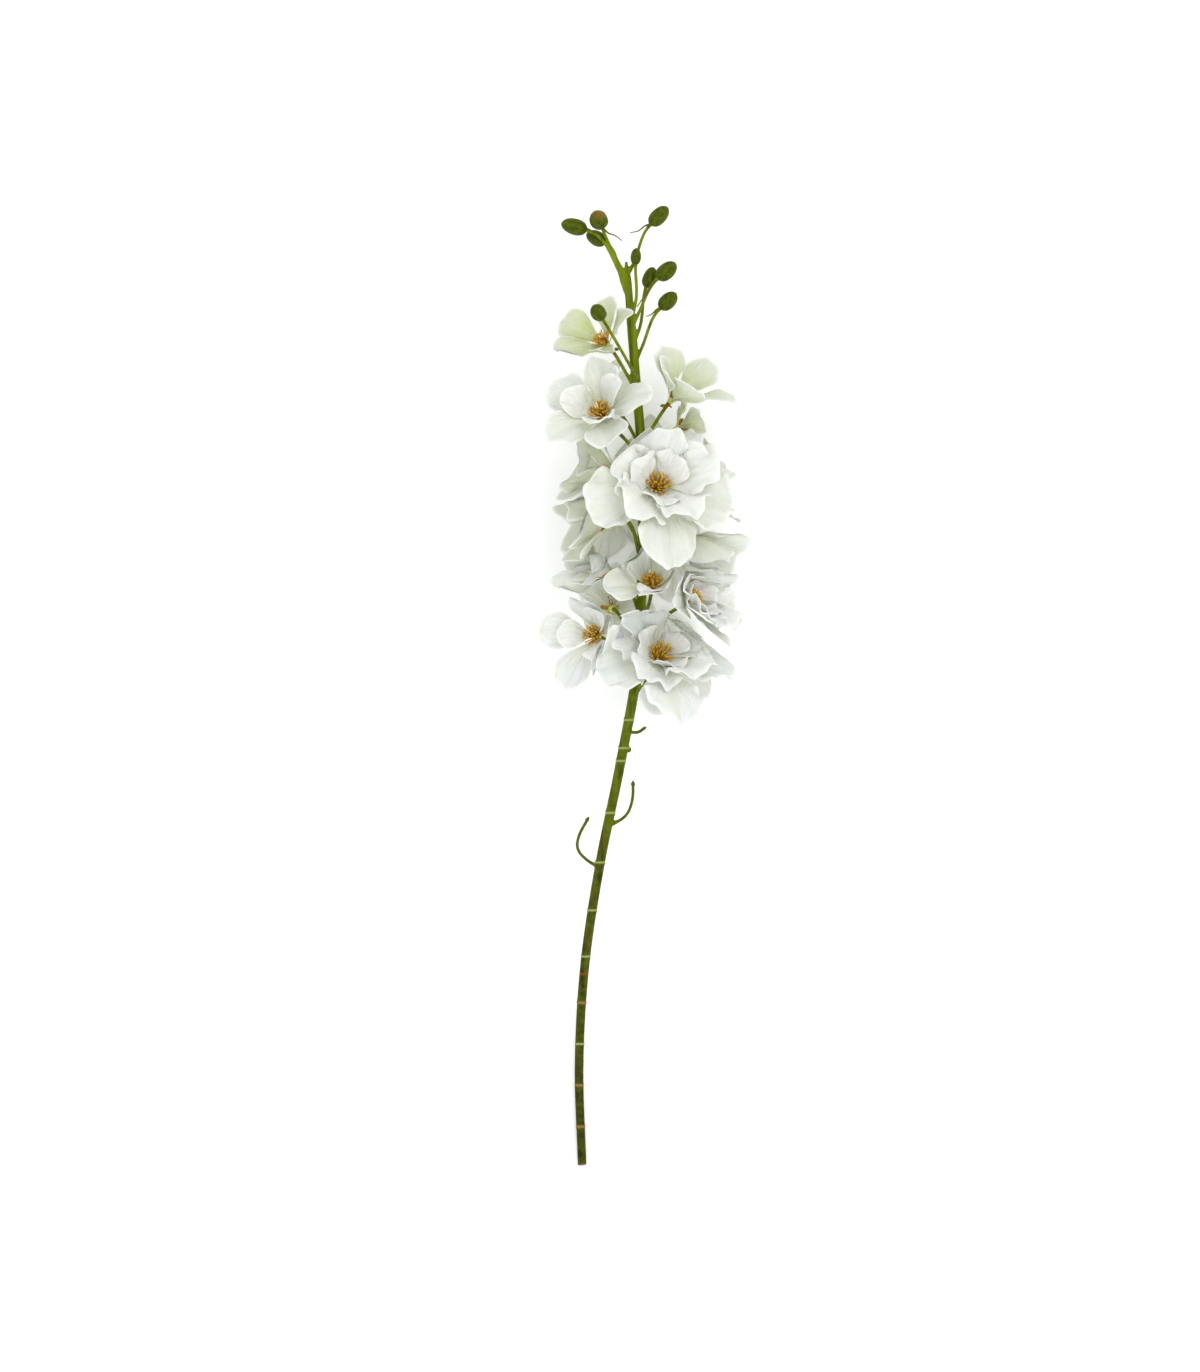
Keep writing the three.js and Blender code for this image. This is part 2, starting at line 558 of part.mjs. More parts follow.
function stemSolid(blooms) {
  const pieces = [stemRod()];
  for (const bloom of blooms) {
    pieces.push(stalk(bloom.along - DROP, bloom.base, bloom.facing, PEDICEL_RADIUS));
    if (bloom.bracts) pieces.push(...bracts(bloom));
  }
  for (const bud of BUDS) {
    const tip = V(...bud.points).normalize();
    const end = V(...bud.at).addScaledVector(tip, -bud.long / 2 - SEAT_GAP);
    pieces.push(stalk(bud.rootY, end, tip, PEDICEL_RADIUS * 0.9, bud.leaves));
  }
  for (const peg of PEGS) {
    const points = peg.path.map((p) => V(...p));
    const curve = new THREE.CatmullRomCurve3(points, false, 'catmullrom', 0.5);
    const profile = Array.from({ length: PEG_STEPS + 1 }, (_, i) => [PEG_RADIUS, i / PEG_STEPS]);
    pieces.push(turnedAlong(curve, [[0, 0], ...profile, [0, 1]], PEDICEL_SIDES, V(0, 0, 1)));
    const knob = new THREE.IcosahedronGeometry(peg.knob, 0);
    pieces.push(stood(knob, points.at(-1), UP_THE_SPIKE));
  }
  pieces.push(stood(new THREE.IcosahedronGeometry(NUB.radius, 0), V(...NUB.at), UP_THE_SPIKE));
  return restedOnSurface(joined(pieces));
}

// An egg-shaped bud, with a flat seat for its stalk.
function budSolid(bud) {
  const outline = [[0, 0], [0.2, 0], [0.46, 0.24], [0.47, 0.6], [0.24, 0.9], [0, 1]];
  const points = outline.map(([x, y]) => new THREE.Vector2(x * bud.wide, (y - 0.5) * bud.long));
  return stood(new THREE.LatheGeometry(points, 7), V(...bud.at), V(...bud.points));
}

// ---- The spike ------------------------------------------------------------------------------------------

const petalWhite = new THREE.Color(0xf4f6ee);
const petalGreen = new THREE.Color(0xd3e0a8);
const stemFinish = new THREE.MeshStandardMaterial({ color: 0x5b7d1c, roughness: 0.5, metalness: 0 });
const budFinish = new THREE.MeshStandardMaterial({ color: 0x4f7421, roughness: 0.45, metalness: 0 });
const stamenFinish = new THREE.MeshStandardMaterial({ color: 0xc98a1e, roughness: 0.6, metalness: 0 });
const petalFinish = (green) => new THREE.MeshStandardMaterial({
  color: petalWhite.clone().lerp(petalGreen, green), roughness: 0.75, metalness: 0,
});

const spike = new THREE.Group();
const blooms = BLOOMS.map(placed);
spike.add(mesh('stem', stemSolid(blooms), stemFinish));
blooms.forEach((bloom, i) => {
  const number = String(i + 1).padStart(2, '0');
  spike.add(mesh('bloom_' + number, bloomSolid(bloom, i + 1, blooms), petalFinish(bloom.green)));
  spike.add(mesh('stamens_' + number, stamenSolid(bloom, i + 1), stamenFinish));
});
BUDS.forEach((bud, i) => spike.add(mesh('bud_' + (i + 1), budSolid(bud), budFinish)));

export default spike;
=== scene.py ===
# %% [markdown]
# # A cut delphinium spike, dressed in Blender
#
# The spike is an artificial flower that lies on its back: one stem moulded in green plastic, twenty
# blooms of thin white cloth, a tuft of gold stamens in each, and nine closed buds at the tip. Its plain
# solids come first, as a frame that never moves. Each is then replaced by a finer piece that keeps its
# place and its form, so the lesson is about three things: sheets that bend, stalks that follow curves,
# and finishes made of nodes.

# %% Load the solids
import math
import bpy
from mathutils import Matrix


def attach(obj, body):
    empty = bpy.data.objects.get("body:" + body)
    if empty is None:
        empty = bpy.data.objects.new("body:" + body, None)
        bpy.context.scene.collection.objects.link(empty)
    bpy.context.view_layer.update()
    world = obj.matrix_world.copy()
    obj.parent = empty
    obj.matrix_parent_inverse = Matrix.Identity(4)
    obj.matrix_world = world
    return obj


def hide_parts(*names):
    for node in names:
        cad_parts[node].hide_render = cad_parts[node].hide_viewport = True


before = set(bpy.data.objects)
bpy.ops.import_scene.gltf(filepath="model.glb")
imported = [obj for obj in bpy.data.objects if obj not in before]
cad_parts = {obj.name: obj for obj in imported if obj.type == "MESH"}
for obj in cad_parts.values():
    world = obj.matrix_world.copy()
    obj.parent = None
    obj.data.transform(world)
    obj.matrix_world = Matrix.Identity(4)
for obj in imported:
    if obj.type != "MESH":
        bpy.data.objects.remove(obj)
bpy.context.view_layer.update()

from types import SimpleNamespace

import bpy
import numpy as np
from mathutils import Vector

MM = 0.001

# %% [markdown]
# ## Camera, floor and light
#
# The spike lies down, so the camera looks straight down on it. A long lens from far away keeps the high
# blooms and the low stem at one scale. A wide lens nearer by would be easier to light, but it would swell
# whatever stands closest. The floor is a plain pale plane. Most of the light comes from a pale world all
# round, which keeps the shadows open, as in a product studio. A soft lamp at the upper right shapes the
# petals, and two wider and weaker ones light the left side and the foot.

# %% Camera
VIEW_HEIGHT = 0.8531        # what the image shows from top to bottom, at the height of the flowers
VIEW_MIDDLE = Vector((-0.0251, 0.0022, 0.045))
LENS = 200
SENSOR = 36

bpy.ops.object.select_all(action="DESELECT")
distance = VIEW_HEIGHT * LENS / SENSOR
bpy.ops.object.camera_add(location=VIEW_MIDDLE + Vector((0, 0, distance)), rotation=(0, 0, 0))
camera = bpy.context.object
camera.data.sensor_fit = "VERTICAL"
camera.data.sensor_height = SENSOR
camera.data.lens = LENS
camera.data.clip_end = 30
bpy.context.scene.camera = camera
print("camera", round(distance, 3), "m above the flowers")

# %% Floor and lamps
bpy.ops.mesh.primitive_plane_add(size=8, location=(0, 0, 0))
floor = bpy.context.object
floor.name = "floor"

LAMPS = {
    "key": dict(place=(1.1, 1.0, 2.0), size=1.6, power=15),
    "fill": dict(place=(-1.4, 0.3, 2.0), size=2.4, power=10),
    "foot": dict(place=(0.2, -1.7, 1.8), size=2.0, power=14),
}
for name, lamp in LAMPS.items():
    place = Vector(lamp["place"])
    turn = (-place).to_track_quat("-Z", "Y").to_euler()
    bpy.ops.object.light_add(type="AREA", location=place, rotation=turn)
    light = bpy.context.object
    light.name = name
    light.data.shape = "DISK"
    light.data.size = lamp["size"]
    light.data.energy = lamp["power"]

WORLD = SimpleNamespace(colour=(0.97, 0.98, 1.0, 1), strength=0.87)
world = bpy.data.worlds.new("studio")
world.use_nodes = True
world.node_tree.nodes["Background"].inputs["Color"].default_value = WORLD.colour
world.node_tree.nodes["Background"].inputs["Strength"].default_value = WORLD.strength
bpy.context.scene.world = world
bpy.context.scene.view_settings.view_transform = "Standard"
print(len(LAMPS), "lamps")

# %% [markdown]
# ## The plan of the spike
#
# These are the sizes that the solids were made from, in millimetres. Each bloom stands at a place along
# the stem, some way round it, and looks out, aside or up. The table is short because a rule does the
# rest: the petals of a bloom are alike but for small differences, which a fixed formula draws, the same
# on every run.

# %% Small helpers


def smoothstep(x, low, high):
    """0 below low, 1 above high, and a smooth climb between."""
    share = np.clip((x - low) / (high - low), 0, 1)
    return share * share * (3 - 2 * share)


def lerp(low, high, share):
    return low + (high - low) * share


def unit(vector):
    return vector / np.linalg.norm(vector)


def draw(seed, use):
    """A number from -1 to 1 that looks random, and is the same each time for the same seed and use."""
    wild = math.sin(seed * 12.9898 + use * 78.233) * 43758.5453
    return 2 * (wild - math.floor(wild)) - 1


def outward(degrees):
    """A direction straight out of the stem, degrees round it from the side that faces up."""
    return np.array([math.sin(math.radians(degrees)), 0, math.cos(math.radians(degrees))])


def in_flat(bloom, turn):
    """A direction in a bloom's own flat, turned from its up towards its right."""
    return bloom.up * math.cos(turn) + bloom.right * math.sin(turn)


# %% The stem's line
UP_THE_SPIKE = np.array([0.0, 1.0, 0.0])
STEM_FOOT_Y = -299
STEM_FORK_Y = 266           # where the rod ends and the buds' own stalks go on
STEM_X = [-36.3, -38.2, -34.7, -25.4, -12.7, -1.8, 1, 1, -3.7, -8.9]
STEM_Z = [2.4, 7.5, 14, 21, 28, 35, 41, 44, 45.5, 46]


def smooth_curve(knots, share):
    """Points of a Catmull-Rom curve through the knots, at shares of its length from 0 to 1."""
    knots = np.asarray(knots, float)
    padded = np.vstack([2 * knots[0] - knots[1], knots, 2 * knots[-1] - knots[-2]])
    place = np.clip(np.atleast_1d(share), 0, 1) * (len(knots) - 1)
    start = np.minimum(place.astype(int), len(knots) - 2)
    t = (place - start)[:, None]
    before, first, second, after = (padded[start + i] for i in range(4))
    leave, arrive = (second - before) / 2, (after - first) / 2
    return ((2 * t**3 - 3 * t**2 + 1) * first + (t**3 - 2 * t**2 + t) * leave
            + (3 * t**2 - 2 * t**3) * second + (t**3 - t**2) * arrive)


STEM_KNOTS = np.column_stack([STEM_X, np.linspace(STEM_FOOT_Y, STEM_FORK_Y, len(STEM_X)), STEM_Z])


def stem_at(y):
    """Points on the stem's middle line at heights up the spike."""
    return smooth_curve(STEM_KNOTS, (np.asarray(y, float) - STEM_FOOT_Y) / (STEM_FORK_Y - STEM_FOOT_Y))


print("the stem bows between x =", min(STEM_X), "and", max(STEM_X), "mm")

# %% The blooms' places
MIDDLE = 0.3                # a bloom's middle lies this share of its reach above its base
# In a row, the shade value paints a dull greenish shade over the whole bloom.
BLOOMS = [
    dict(kind="young", along=213, around=-86, out=15, reach=32,
         nod=32, turn=46, spin=2, shut=10, green=0.7, painted_shade=0.4, bracts=True),
    dict(kind="young", along=178, around=62, out=22, reach=36,
         nod=44, turn=-10, spin=72, shut=26, front=0.5, green=0.45, painted_shade=0.1, bracts=True),
    dict(kind="single", along=168, around=-48, out=29, reach=39,
         nod=26, turn=28, spin=2, shut=12, front=1.6, green=0.05, painted_shade=0.15, bracts=True),
    dict(kind="young", along=161, around=112, out=22, reach=28,
         nod=20, spin=10, shut=20, green=0.75, bracts=True),
    dict(kind="double", along=123, around=16, out=28, reach=48,
         nod=22, turn=-6, spin=36, front=2.2, green=0.1),
    dict(kind="open", along=135, around=-50, out=18, reach=40,
         nod=10, turn=-50, spin=36, shut=8, front=0.5, green=0.15, painted_shade=0.75),
    dict(kind="open", along=106, around=-40, out=23, reach=44,
         nod=2, turn=-54, spin=20, shut=6, front=0.8, green=0.15, painted_shade=0.7),
    dict(kind="open", along=125, around=80, out=31, reach=35,
         nod=14, turn=-6, spin=36, front=0.3, green=0.1),
    dict(kind="open", along=96, around=66, out=27, reach=39,
         nod=-40, turn=-10, spin=36, shut=26, front=1.1, green=0.15, bracts=True),
    dict(kind="single", along=60, around=12, out=28, reach=39,
         nod=46, turn=-8, spin=30, shut=-6, front=1.3, green=0.1),
    dict(kind="single", along=73, around=-44, out=25, reach=40,
         nod=10, turn=-14, spin=16, shut=4, front=0.6, green=0.05, painted_shade=0.15),
    dict(kind="single", along=33, around=-60, out=29, reach=35,
         nod=6, turn=34, spin=-10, front=2.2, green=0.0, cool=0.3),
    dict(kind="double", along=16, around=24, out=29, reach=48,
         nod=34, turn=-8, spin=33, front=2.6, green=0.05, cool=0.5),
    dict(kind="double", along=52, around=50, out=33, reach=40,
         nod=24, turn=4, spin=36, shut=8, front=2, green=0.05),
    dict(kind="open", along=176, around=-136, out=22, reach=29,
         nod=30, spin=0, shut=4, green=0.4),
    dict(kind="open", along=142, around=172, out=27.6, reach=31,
         nod=14, spin=0, shut=-6, green=0.3),
    dict(kind="open", along=112, around=-150, out=29, reach=34,
         nod=10, turn=-18, spin=30, shut=-8, green=0.1),
    dict(kind="open", along=82, around=148, out=30.6, reach=35,
         nod=10, turn=20, spin=10, shut=-4, green=0.1),
    dict(kind="open", along=50, around=-145, out=29, reach=35,
         nod=8, turn=-20, spin=50, shut=-4, green=0.05),
    dict(kind="open", along=20, around=140, out=27.6, reach=34,
         nod=4, turn=24, spin=20, shut=0, green=0.05),
]
PLAIN_BLOOM = dict(turn=0, shut=0, front=0, cool=0, painted_shade=0, bracts=False)     # what a row may leave out


def placed(number, row):
    """A bloom with its own axes: facing is the way it looks, and up and right lie in its flat."""
    bloom = SimpleNamespace(**PLAIN_BLOOM | row)
    bloom.number = number
    bloom.outwards = outward(bloom.around)
    looks = outward(bloom.around + bloom.turn)
    nod = math.radians(bloom.nod)
    bloom.base = stem_at(bloom.along)[0] + bloom.outwards * bloom.out
    bloom.facing = looks * math.cos(nod) + UP_THE_SPIKE * math.sin(nod)
    bloom.right = np.array([looks[2], 0, -looks[0]])
    bloom.up = np.cross(bloom.facing, bloom.right)
    bloom.middle = bloom.base + MIDDLE * bloom.reach * bloom.facing
    return bloom


blooms = [placed(i + 1, row) for i, row in enumerate(BLOOMS)]
heights = [bloom.along for bloom in blooms]
print(len(blooms), "blooms between y =", min(heights), "and", max(heights), "mm")

# %% [markdown]
# ## Petals that give way
#
# On the real spike the petals of neighbouring blooms push each other aside. A cloth simulation could find
# that balance, but it would be slow and would tear at the crossings. Here each pair of blooms has an
# unseen plane between them, which leans so that the upper bloom lies over the lower one and the front one
# over those beside it. A petal is drawn as if it were alone, then every point that passes a plane is
# moved back to it, softly. The same rule keeps petals off the floor, off the stem and off their own
# stamens.

# %% Planes between blooms
PETAL_GAP = 0.9             # from the middle of a petal's thickness to the plane it lies on
BEND_ROOM = 4               # a petal starts to give way this far before another bloom's plane
FLOOR_ROOM = 1.2            # and this far before the floor
LAYER_STEP = 1.1            # between petals that are pressed one on another
SHINGLE = 1.0               # how much each bloom's upper petals slip in behind the bloom above it
OVERLAP = 1.0               # how much a bloom in front spreads over the ones beside it
ABOVE_FLOOR = 0.3           # nothing soft comes nearer to the floor than this
NEAR = 1.2                  # blooms are neighbours within this many times their two reaches
FLOOR = SimpleNamespace(normal=np.array([0.0, 0.0, -1.0]), limit=-0.35, room=FLOOR_ROOM)


def walls_of(bloom):
    """The planes that a bloom's petals stay behind."""
    walls = [FLOOR]
    for other in blooms:
        way = other.middle - bloom.middle
        far = np.linalg.norm(way)
        if other is bloom or far > NEAR * (bloom.reach + other.reach):
            continue
        # Between the halfway plane and the one in which two balls of these reaches would cross.
        distance_to_wall = (far + (bloom.reach**2 - other.reach**2) / (2 * far)) / 2
        on_wall = bloom.middle + way * distance_to_wall / far
        normal = way / far
        outwards = (bloom.outwards + other.outwards) / 2
        lean = SHINGLE * normal[1] + OVERLAP * (other.front - bloom.front)
        normal = unit(normal + outwards * lean)
        walls.append(SimpleNamespace(normal=normal, limit=normal @ on_wall - PETAL_GAP, room=BEND_ROOM))
    return walls


# %% Pressing points back
STEM_KEEP_OUT = 8           # petals stay this far from the stem's middle line
SEAT_HEIGHT = 4.6           # of the stamens' seat above a bloom's base
STAMEN_LENGTH = 0.25        # a stamen's length, as a share of the bloom's reach
STAMEN_KEEP_OUT = SimpleNamespace(seat=2.6, tips=0.185)     # a radius, and a share of the bloom's reach
SEAT_RIM = (SEAT_HEIGHT - 1.6, SEAT_HEIGHT + 1)             # heights between which that room opens


def push_from(points, middles, radius):
    """Moves points straight away from their middles, softly, until they are a radius from them."""
    away = points - middles
    near = np.maximum(np.linalg.norm(away, axis=1), 1e-6)
    radius = np.maximum(np.broadcast_to(radius, near.shape), 1e-6)
    wanted = np.where(near < 2 * radius, radius + near**2 / (4 * radius), near)
    return middles + away * (wanted / near)[:, None]


def stamen_room(height, reach):
    """The room that a bloom's stamens need at a height above its base."""
    tips = SEAT_HEIGHT + STAMEN_LENGTH * reach
    wider = STAMEN_KEEP_OUT.tips * reach - STAMEN_KEEP_OUT.seat
    return (STAMEN_KEEP_OUT.seat * smoothstep(height, *SEAT_RIM)
            + wider * smoothstep(height, SEAT_HEIGHT, tips))


def press(points, petal):
    """Moves a petal's points back from its planes, its stem and its own stamens."""
    for _ in range(2):
        for wall in petal.walls:
            past = points @ wall.normal - (wall.limit - petal.layer * LAYER_STEP - wall.room)
            kept = np.where(past < 2 * wall.room, past - past**2 / (4 * wall.room), wall.room)
            points = points + np.outer(np.where(past > 0, kept - past, 0), wall.normal)
    points = push_from(points, stem_at(points[:, 1]), STEM_KEEP_OUT)
    height = (points - petal.base) @ petal.facing
    level = petal.base + height[:, None] * petal.facing
    return push_from(points, level, stamen_room(height, petal.reach))


print(sum(len(walls_of(b)) - 1 for b in blooms) // 2, "pairs of neighbours")

# %% [markdown]
# ## One petal as a surface
#
# A petal is stamped from cloth and heat-shaped: narrow at its root, domed across, creased down its
# middle, and frilled along its rim. Shaping each of them by hand in edit mode would take days, so the
# surface is a formula on a disc: across and along run from -1 to 1, and the terms below are the dome, the
# crease, the frill, the finer crimp of the rim and a few slow waves that make no two petals alike.

# %% Whorls
OUTER = dict(count=5, length=1.0, width=0.78, start=0,
             root=44, tip=4, cup=32, frill=0.035, waves=5, crimp=0.4)
INNER = dict(count=3, length=0.78, width=0.6, start=36,
             root=58, tip=34, cup=42, frill=0.035, waves=5, crimp=0.3)
WHORLS = {
    "young": [OUTER],
    "open": [OUTER | dict(width=0.9)],
    "single": [OUTER, INNER],
    "double": [
        OUTER | dict(width=0.9, root=38, tip=-16, cup=22, frill=0.075, waves=6, crimp=0.6),
        OUTER | dict(length=0.84, width=0.84, root=50, tip=24, cup=26, frill=0.075, waves=7, start=36),
        INNER | dict(length=0.56, width=0.62, root=60, tip=36, cup=36, frill=0.07, waves=6, crimp=0.25,
                     start=12),
    ],
}
# How far petals differ from each other: the first two in degrees, the rest in shares.
UNLIKE = SimpleNamespace(turn=8, tip=9, length=0.07, width=0.07, roll=0.9, flush=0.25, tone=0.25)
# An outer petal that hangs down the spike is longer, with a much calmer frill and calmer ruffles on it.
HANG = SimpleNamespace(low=0.2, high=0.9, longer=0.14, calmer=0.75, plainer=0.35)
GIVE = 14                   # a petal bends this far before it stands up instead
STAND = SimpleNamespace(step=5, most=70, root=62, tip=86)     # in degrees
ROOT_SHARE = 0.35           # how much a petal's root turns when its tip stands up

# %% The surface
CLAW = 0.1                  # width of a petal's root, as a share of its full width
WIDEST = 0.75               # share of a petal's length at which it is widest
ROOT_OUT = 1.7              # a petal starts this far out from its bloom's axis
ROOT_UP = 2.4               # and this far above the bloom's base
ROOT_STEP = 0.7             # and each whorl further in starts this much higher
LEAN = 0.16                 # how much one side of a petal stands higher than the other
CREASE = SimpleNamespace(depth=0.025, width=0.22)
FAN = 0.3                   # the rim's waves fan out from this far below the middle of the disc
# Each form at the rim grows outwards between two radii, and away from the root between two shares of the
# length.
GROWS = SimpleNamespace(frill=(0.25, 1.1, 0.2, 0.7), notch=(0.5, 1, 0.25, 0.6), crimp=(0.55, 1.05, 0.25, 0.6))


def grown(radius, share, inner, outer, low, high):
    """A mask of a petal's rim, 0 in the middle and at the root."""
    return smoothstep(radius, inner, outer) * smoothstep(share, low, high)


def petal_shape(petal, across, along):
    """Points of a petal's middle surface before it gives way."""
    share = (along + 1) / 2
    radius = np.hypot(across, along)
    around = np.arctan2(across, along + FAN)
    notch = ragged_rim(petal, share, radius, around)
    across, share = across * (1 - notch), share * (1 - notch / 2)
    half = petal.width / 2
    side = across * half * lerp(CLAW, 1, smoothstep(share, 0, WIDEST))
    bend = petal.tip - petal.root
    slope = petal.root + bend * share
    reach = ROOT_OUT + petal.length * (np.sin(slope) - math.sin(petal.root)) / bend
    rise = ROOT_UP + ROOT_STEP * petal.ring + petal.length * (math.cos(petal.root) - np.cos(slope)) / bend
    curl = side * petal.cup / half
    lateral = np.sin(curl) * half / petal.cup
    rim = grown(radius, share, *GROWS.frill)
    wave = petal.frill * rim * np.sin(petal.waves * around + petal.phase)
    groove = np.exp(-(across / CREASE.width) ** 2) * smoothstep(share, 0.1, 0.5)
    lift = ((1 - np.cos(curl)) * half / petal.cup + wave - CREASE.depth * petal.length * groove
            + lateral * LEAN + fine_relief(petal, across, share, radius, around))
    return (petal.base + np.outer(rise + lift * np.cos(slope), petal.facing)
            + np.outer(reach - lift * np.sin(slope), petal.away) + np.outer(lateral, petal.aside))


# %% Fine relief
# The waves run at unrelated rates and start where the petal's own phase says, so no two petals frill alike.
RELIEF = SimpleNamespace(notch=0.85, roll=0.055, slow=0.03, rib=0.003, ribs=21)


def ragged_rim(petal, share, radius, around):
    """How far a petal's outline is notched inwards, as a share of its radius."""
    edge = grown(radius, share, *GROWS.notch)
    waves = (np.sin(0.8 * petal.waves * around + 2.7 * petal.phase)
             + 0.7 * np.sin(1.7 * petal.waves * around + 4.1 * petal.phase))
    return RELIEF.notch * petal.ruffle / petal.length * edge * waves


def fine_relief(petal, across, share, radius, around):
    """The small forms of a cloth petal: a crimped and rolled rim, slow waves, and ribs from its root."""
    edge = grown(radius, share, *GROWS.crimp)
    uneven = 0.6 + 0.8 * np.sin(1.9 * around + 3 * petal.phase) ** 2
    crimp = petal.ruffle * edge * uneven * np.sin(2.3 * petal.waves * around + 2.1 * petal.phase)
    roll = petal.rolled * petal.length * smoothstep(radius, 0.7, 1.15) ** 2 * smoothstep(share, 0.3, 0.6)
    slow = np.sin(3.3 * across + petal.phase) * np.sin(2.9 * share + 1.7 * petal.phase)
    slow = slow * smoothstep(share, 0.2, 0.6)
    ribs = np.cos(across * RELIEF.ribs) * smoothstep(share, 0.1, 0.4) * (1 - smoothstep(radius, 0.6, 0.95))
    return (petal.crimp * crimp - RELIEF.roll * roll + RELIEF.slow * petal.length * slow
            + RELIEF.rib * petal.length * ribs)


def petal_points(petal, across, along):
    """Points of a petal's middle surface where it comes to lie."""
    points = press(petal_shape(petal, across, along), petal)
    points[:, 2] = np.maximum(points[:, 2], ABOVE_FLOOR)
    return points


# %% The petals of a bloom
ROLLED = 0.6                # how much of the full roll a petal's rim has, on the whole
# Places on the disc, mostly along its rim, that stand for the petal while it looks for room.
PROBES = np.array([[0, 1], [0.7, 0.7], [-0.7, 0.7], [0.95, 0.1], [-0.95, 0.1], [0, 0.3]])


def stand_up(petal):
    """Stands a petal up, a little at a time, until its outline is clear of its neighbours."""
    root, tip = petal.root, petal.tip
    for shut in range(0, STAND.most + 1, STAND.step):
        petal.root = min(root + ROOT_SHARE * math.radians(shut), math.radians(STAND.root))
        petal.tip = min(tip + math.radians(shut), math.radians(STAND.tip))
        points = petal_shape(petal, PROBES[:, 0], PROBES[:, 1])
        if all((points @ wall.normal < wall.limit + GIVE).all() for wall in petal.walls if wall is not FLOOR):
            break
    return petal


def petals_of(bloom):
    """The petals of one bloom, whorl by whorl, each a little unlike the next."""
    walls = walls_of(bloom)
    petals = []
    for ring, whorl in enumerate(WHORLS[bloom.kind]):
        for i in range(whorl["count"]):
            seed = 100 * bloom.number + 10 * ring + i
            place = whorl["start"] + 360 / whorl["count"] * i + UNLIKE.turn * draw(seed, 1)
            turn = math.radians(bloom.spin + place)
            length = bloom.reach * whorl["length"] * (1 + UNLIKE.length * draw(seed, 2))
            away = in_flat(bloom, turn)
            hang = smoothstep(-away[1], HANG.low, HANG.high) if ring == 0 else 0
            length = length * (1 + HANG.longer * hang)
            frill = whorl["frill"] * length
            petals.append(stand_up(SimpleNamespace(
                base=bloom.base, facing=bloom.facing, reach=bloom.reach, cool=bloom.cool, painted_shade=bloom.painted_shade,
                walls=walls, ring=ring, layer=i % 3 + 3 * ring, seed=seed,
                away=away, aside=in_flat(bloom, turn + math.pi / 2), length=length,
                width=bloom.reach * whorl["width"] * (1 + UNLIKE.width * draw(seed, 3)),
                root=math.radians(min(whorl["root"] + ROOT_SHARE * bloom.shut, STAND.root)),
                tip=math.radians(whorl["tip"] + bloom.shut + UNLIKE.tip * draw(seed, 4)),
                cup=math.radians(whorl["cup"]), waves=whorl["waves"], crimp=whorl["crimp"],
                frill=frill * (1 - HANG.calmer * hang), ruffle=frill * (1 - HANG.plainer * hang),
                phase=math.pi * draw(seed, 5), rolled=ROLLED + UNLIKE.roll * draw(seed, 6),
            )))
    return petals


all_petals = {bloom.number: petals_of(bloom) for bloom in blooms}
print(sum(len(petals) for petals in all_petals.values()), "petals")

# %% [markdown]
# ## Finishes: shared effects
#
# Two effects come back in several finishes, so each is a node group with named sockets. Fibres gives a
# mask of thin lines that run one way: veins in a petal, streaks in the moulded stem. Mottle breaks up a
# colour with soft patches. Both only put out masks and colours, so each finish keeps its own shader.

# %% Node helpers


def new_node(tree, kind, **settings):
    """Adds a node to a tree. Settings whose name is a socket set that socket, and the rest set properties."""
    node = tree.nodes.new(kind)
    for name, value in settings.items():
        if hasattr(node, name):
            setattr(node, name, value)
        else:
            node.inputs[name.replace("_", " ")].default_value = value
    return node


def new_group(name, inputs, outputs):
    """An empty node group with these sockets, and its input and output nodes."""
    group = bpy.data.node_groups.new(name, "ShaderNodeTree")
    for label, kind, value in inputs:
        socket = group.interface.new_socket(label, in_out="INPUT", socket_type="NodeSocket" + kind)
        if value is not None:
            socket.default_value = value
    for label, kind in outputs:
        group.interface.new_socket(label, in_out="OUTPUT", socket_type="NodeSocket" + kind)
    return group, group.nodes.new("NodeGroupInput"), group.nodes.new("NodeGroupOutput")


def mixed(tree, amount, first, second, blend="MIX"):
    """Mixes two colours. Each of the three is a socket or a value. Gives the result's socket."""
    node = new_node(tree, "ShaderNodeMix", data_type="RGBA", blend_type=blend)
    for socket, value in ((node.inputs[0], amount), (node.inputs[6], first), (node.inputs[7], second)):
        if isinstance(value, bpy.types.NodeSocket):
            tree.links.new(value, socket)
        else:
            socket.default_value = value
    return node.outputs[2]


def worked(tree, operation, first, second=0.0, clamp=False):
    """One sum on two numbers, each a socket or a value. Gives the result's socket."""
    node = new_node(tree, "ShaderNodeMath", operation=operation, use_clamp=clamp)
    for socket, value in zip(node.inputs, (first, second)):
        if isinstance(value, bpy.types.NodeSocket):
            tree.links.new(value, socket)
        else:
            socket.default_value = value
    return node.outputs[0]


def laid(tree, mask, amount, colour, over):
    """Lays a second colour over the first, by an amount of a mask."""
    return mixed(tree, worked(tree, "MULTIPLY", mask, amount), colour, over)


def painted(tree, name):
    """Reads what is painted on the mesh under this name."""
    return new_node(tree, "ShaderNodeAttribute", attribute_name=name).outputs["Fac"]


def eased(tree, value, low, high):
    """A mask that climbs smoothly from 0 to 1 while the value goes from low to high."""
    node = new_node(tree, "ShaderNodeMapRange", interpolation_type="SMOOTHSTEP", From_Min=low, From_Max=high)
    tree.links.new(value, node.inputs["Value"])
    return node.outputs["Result"]


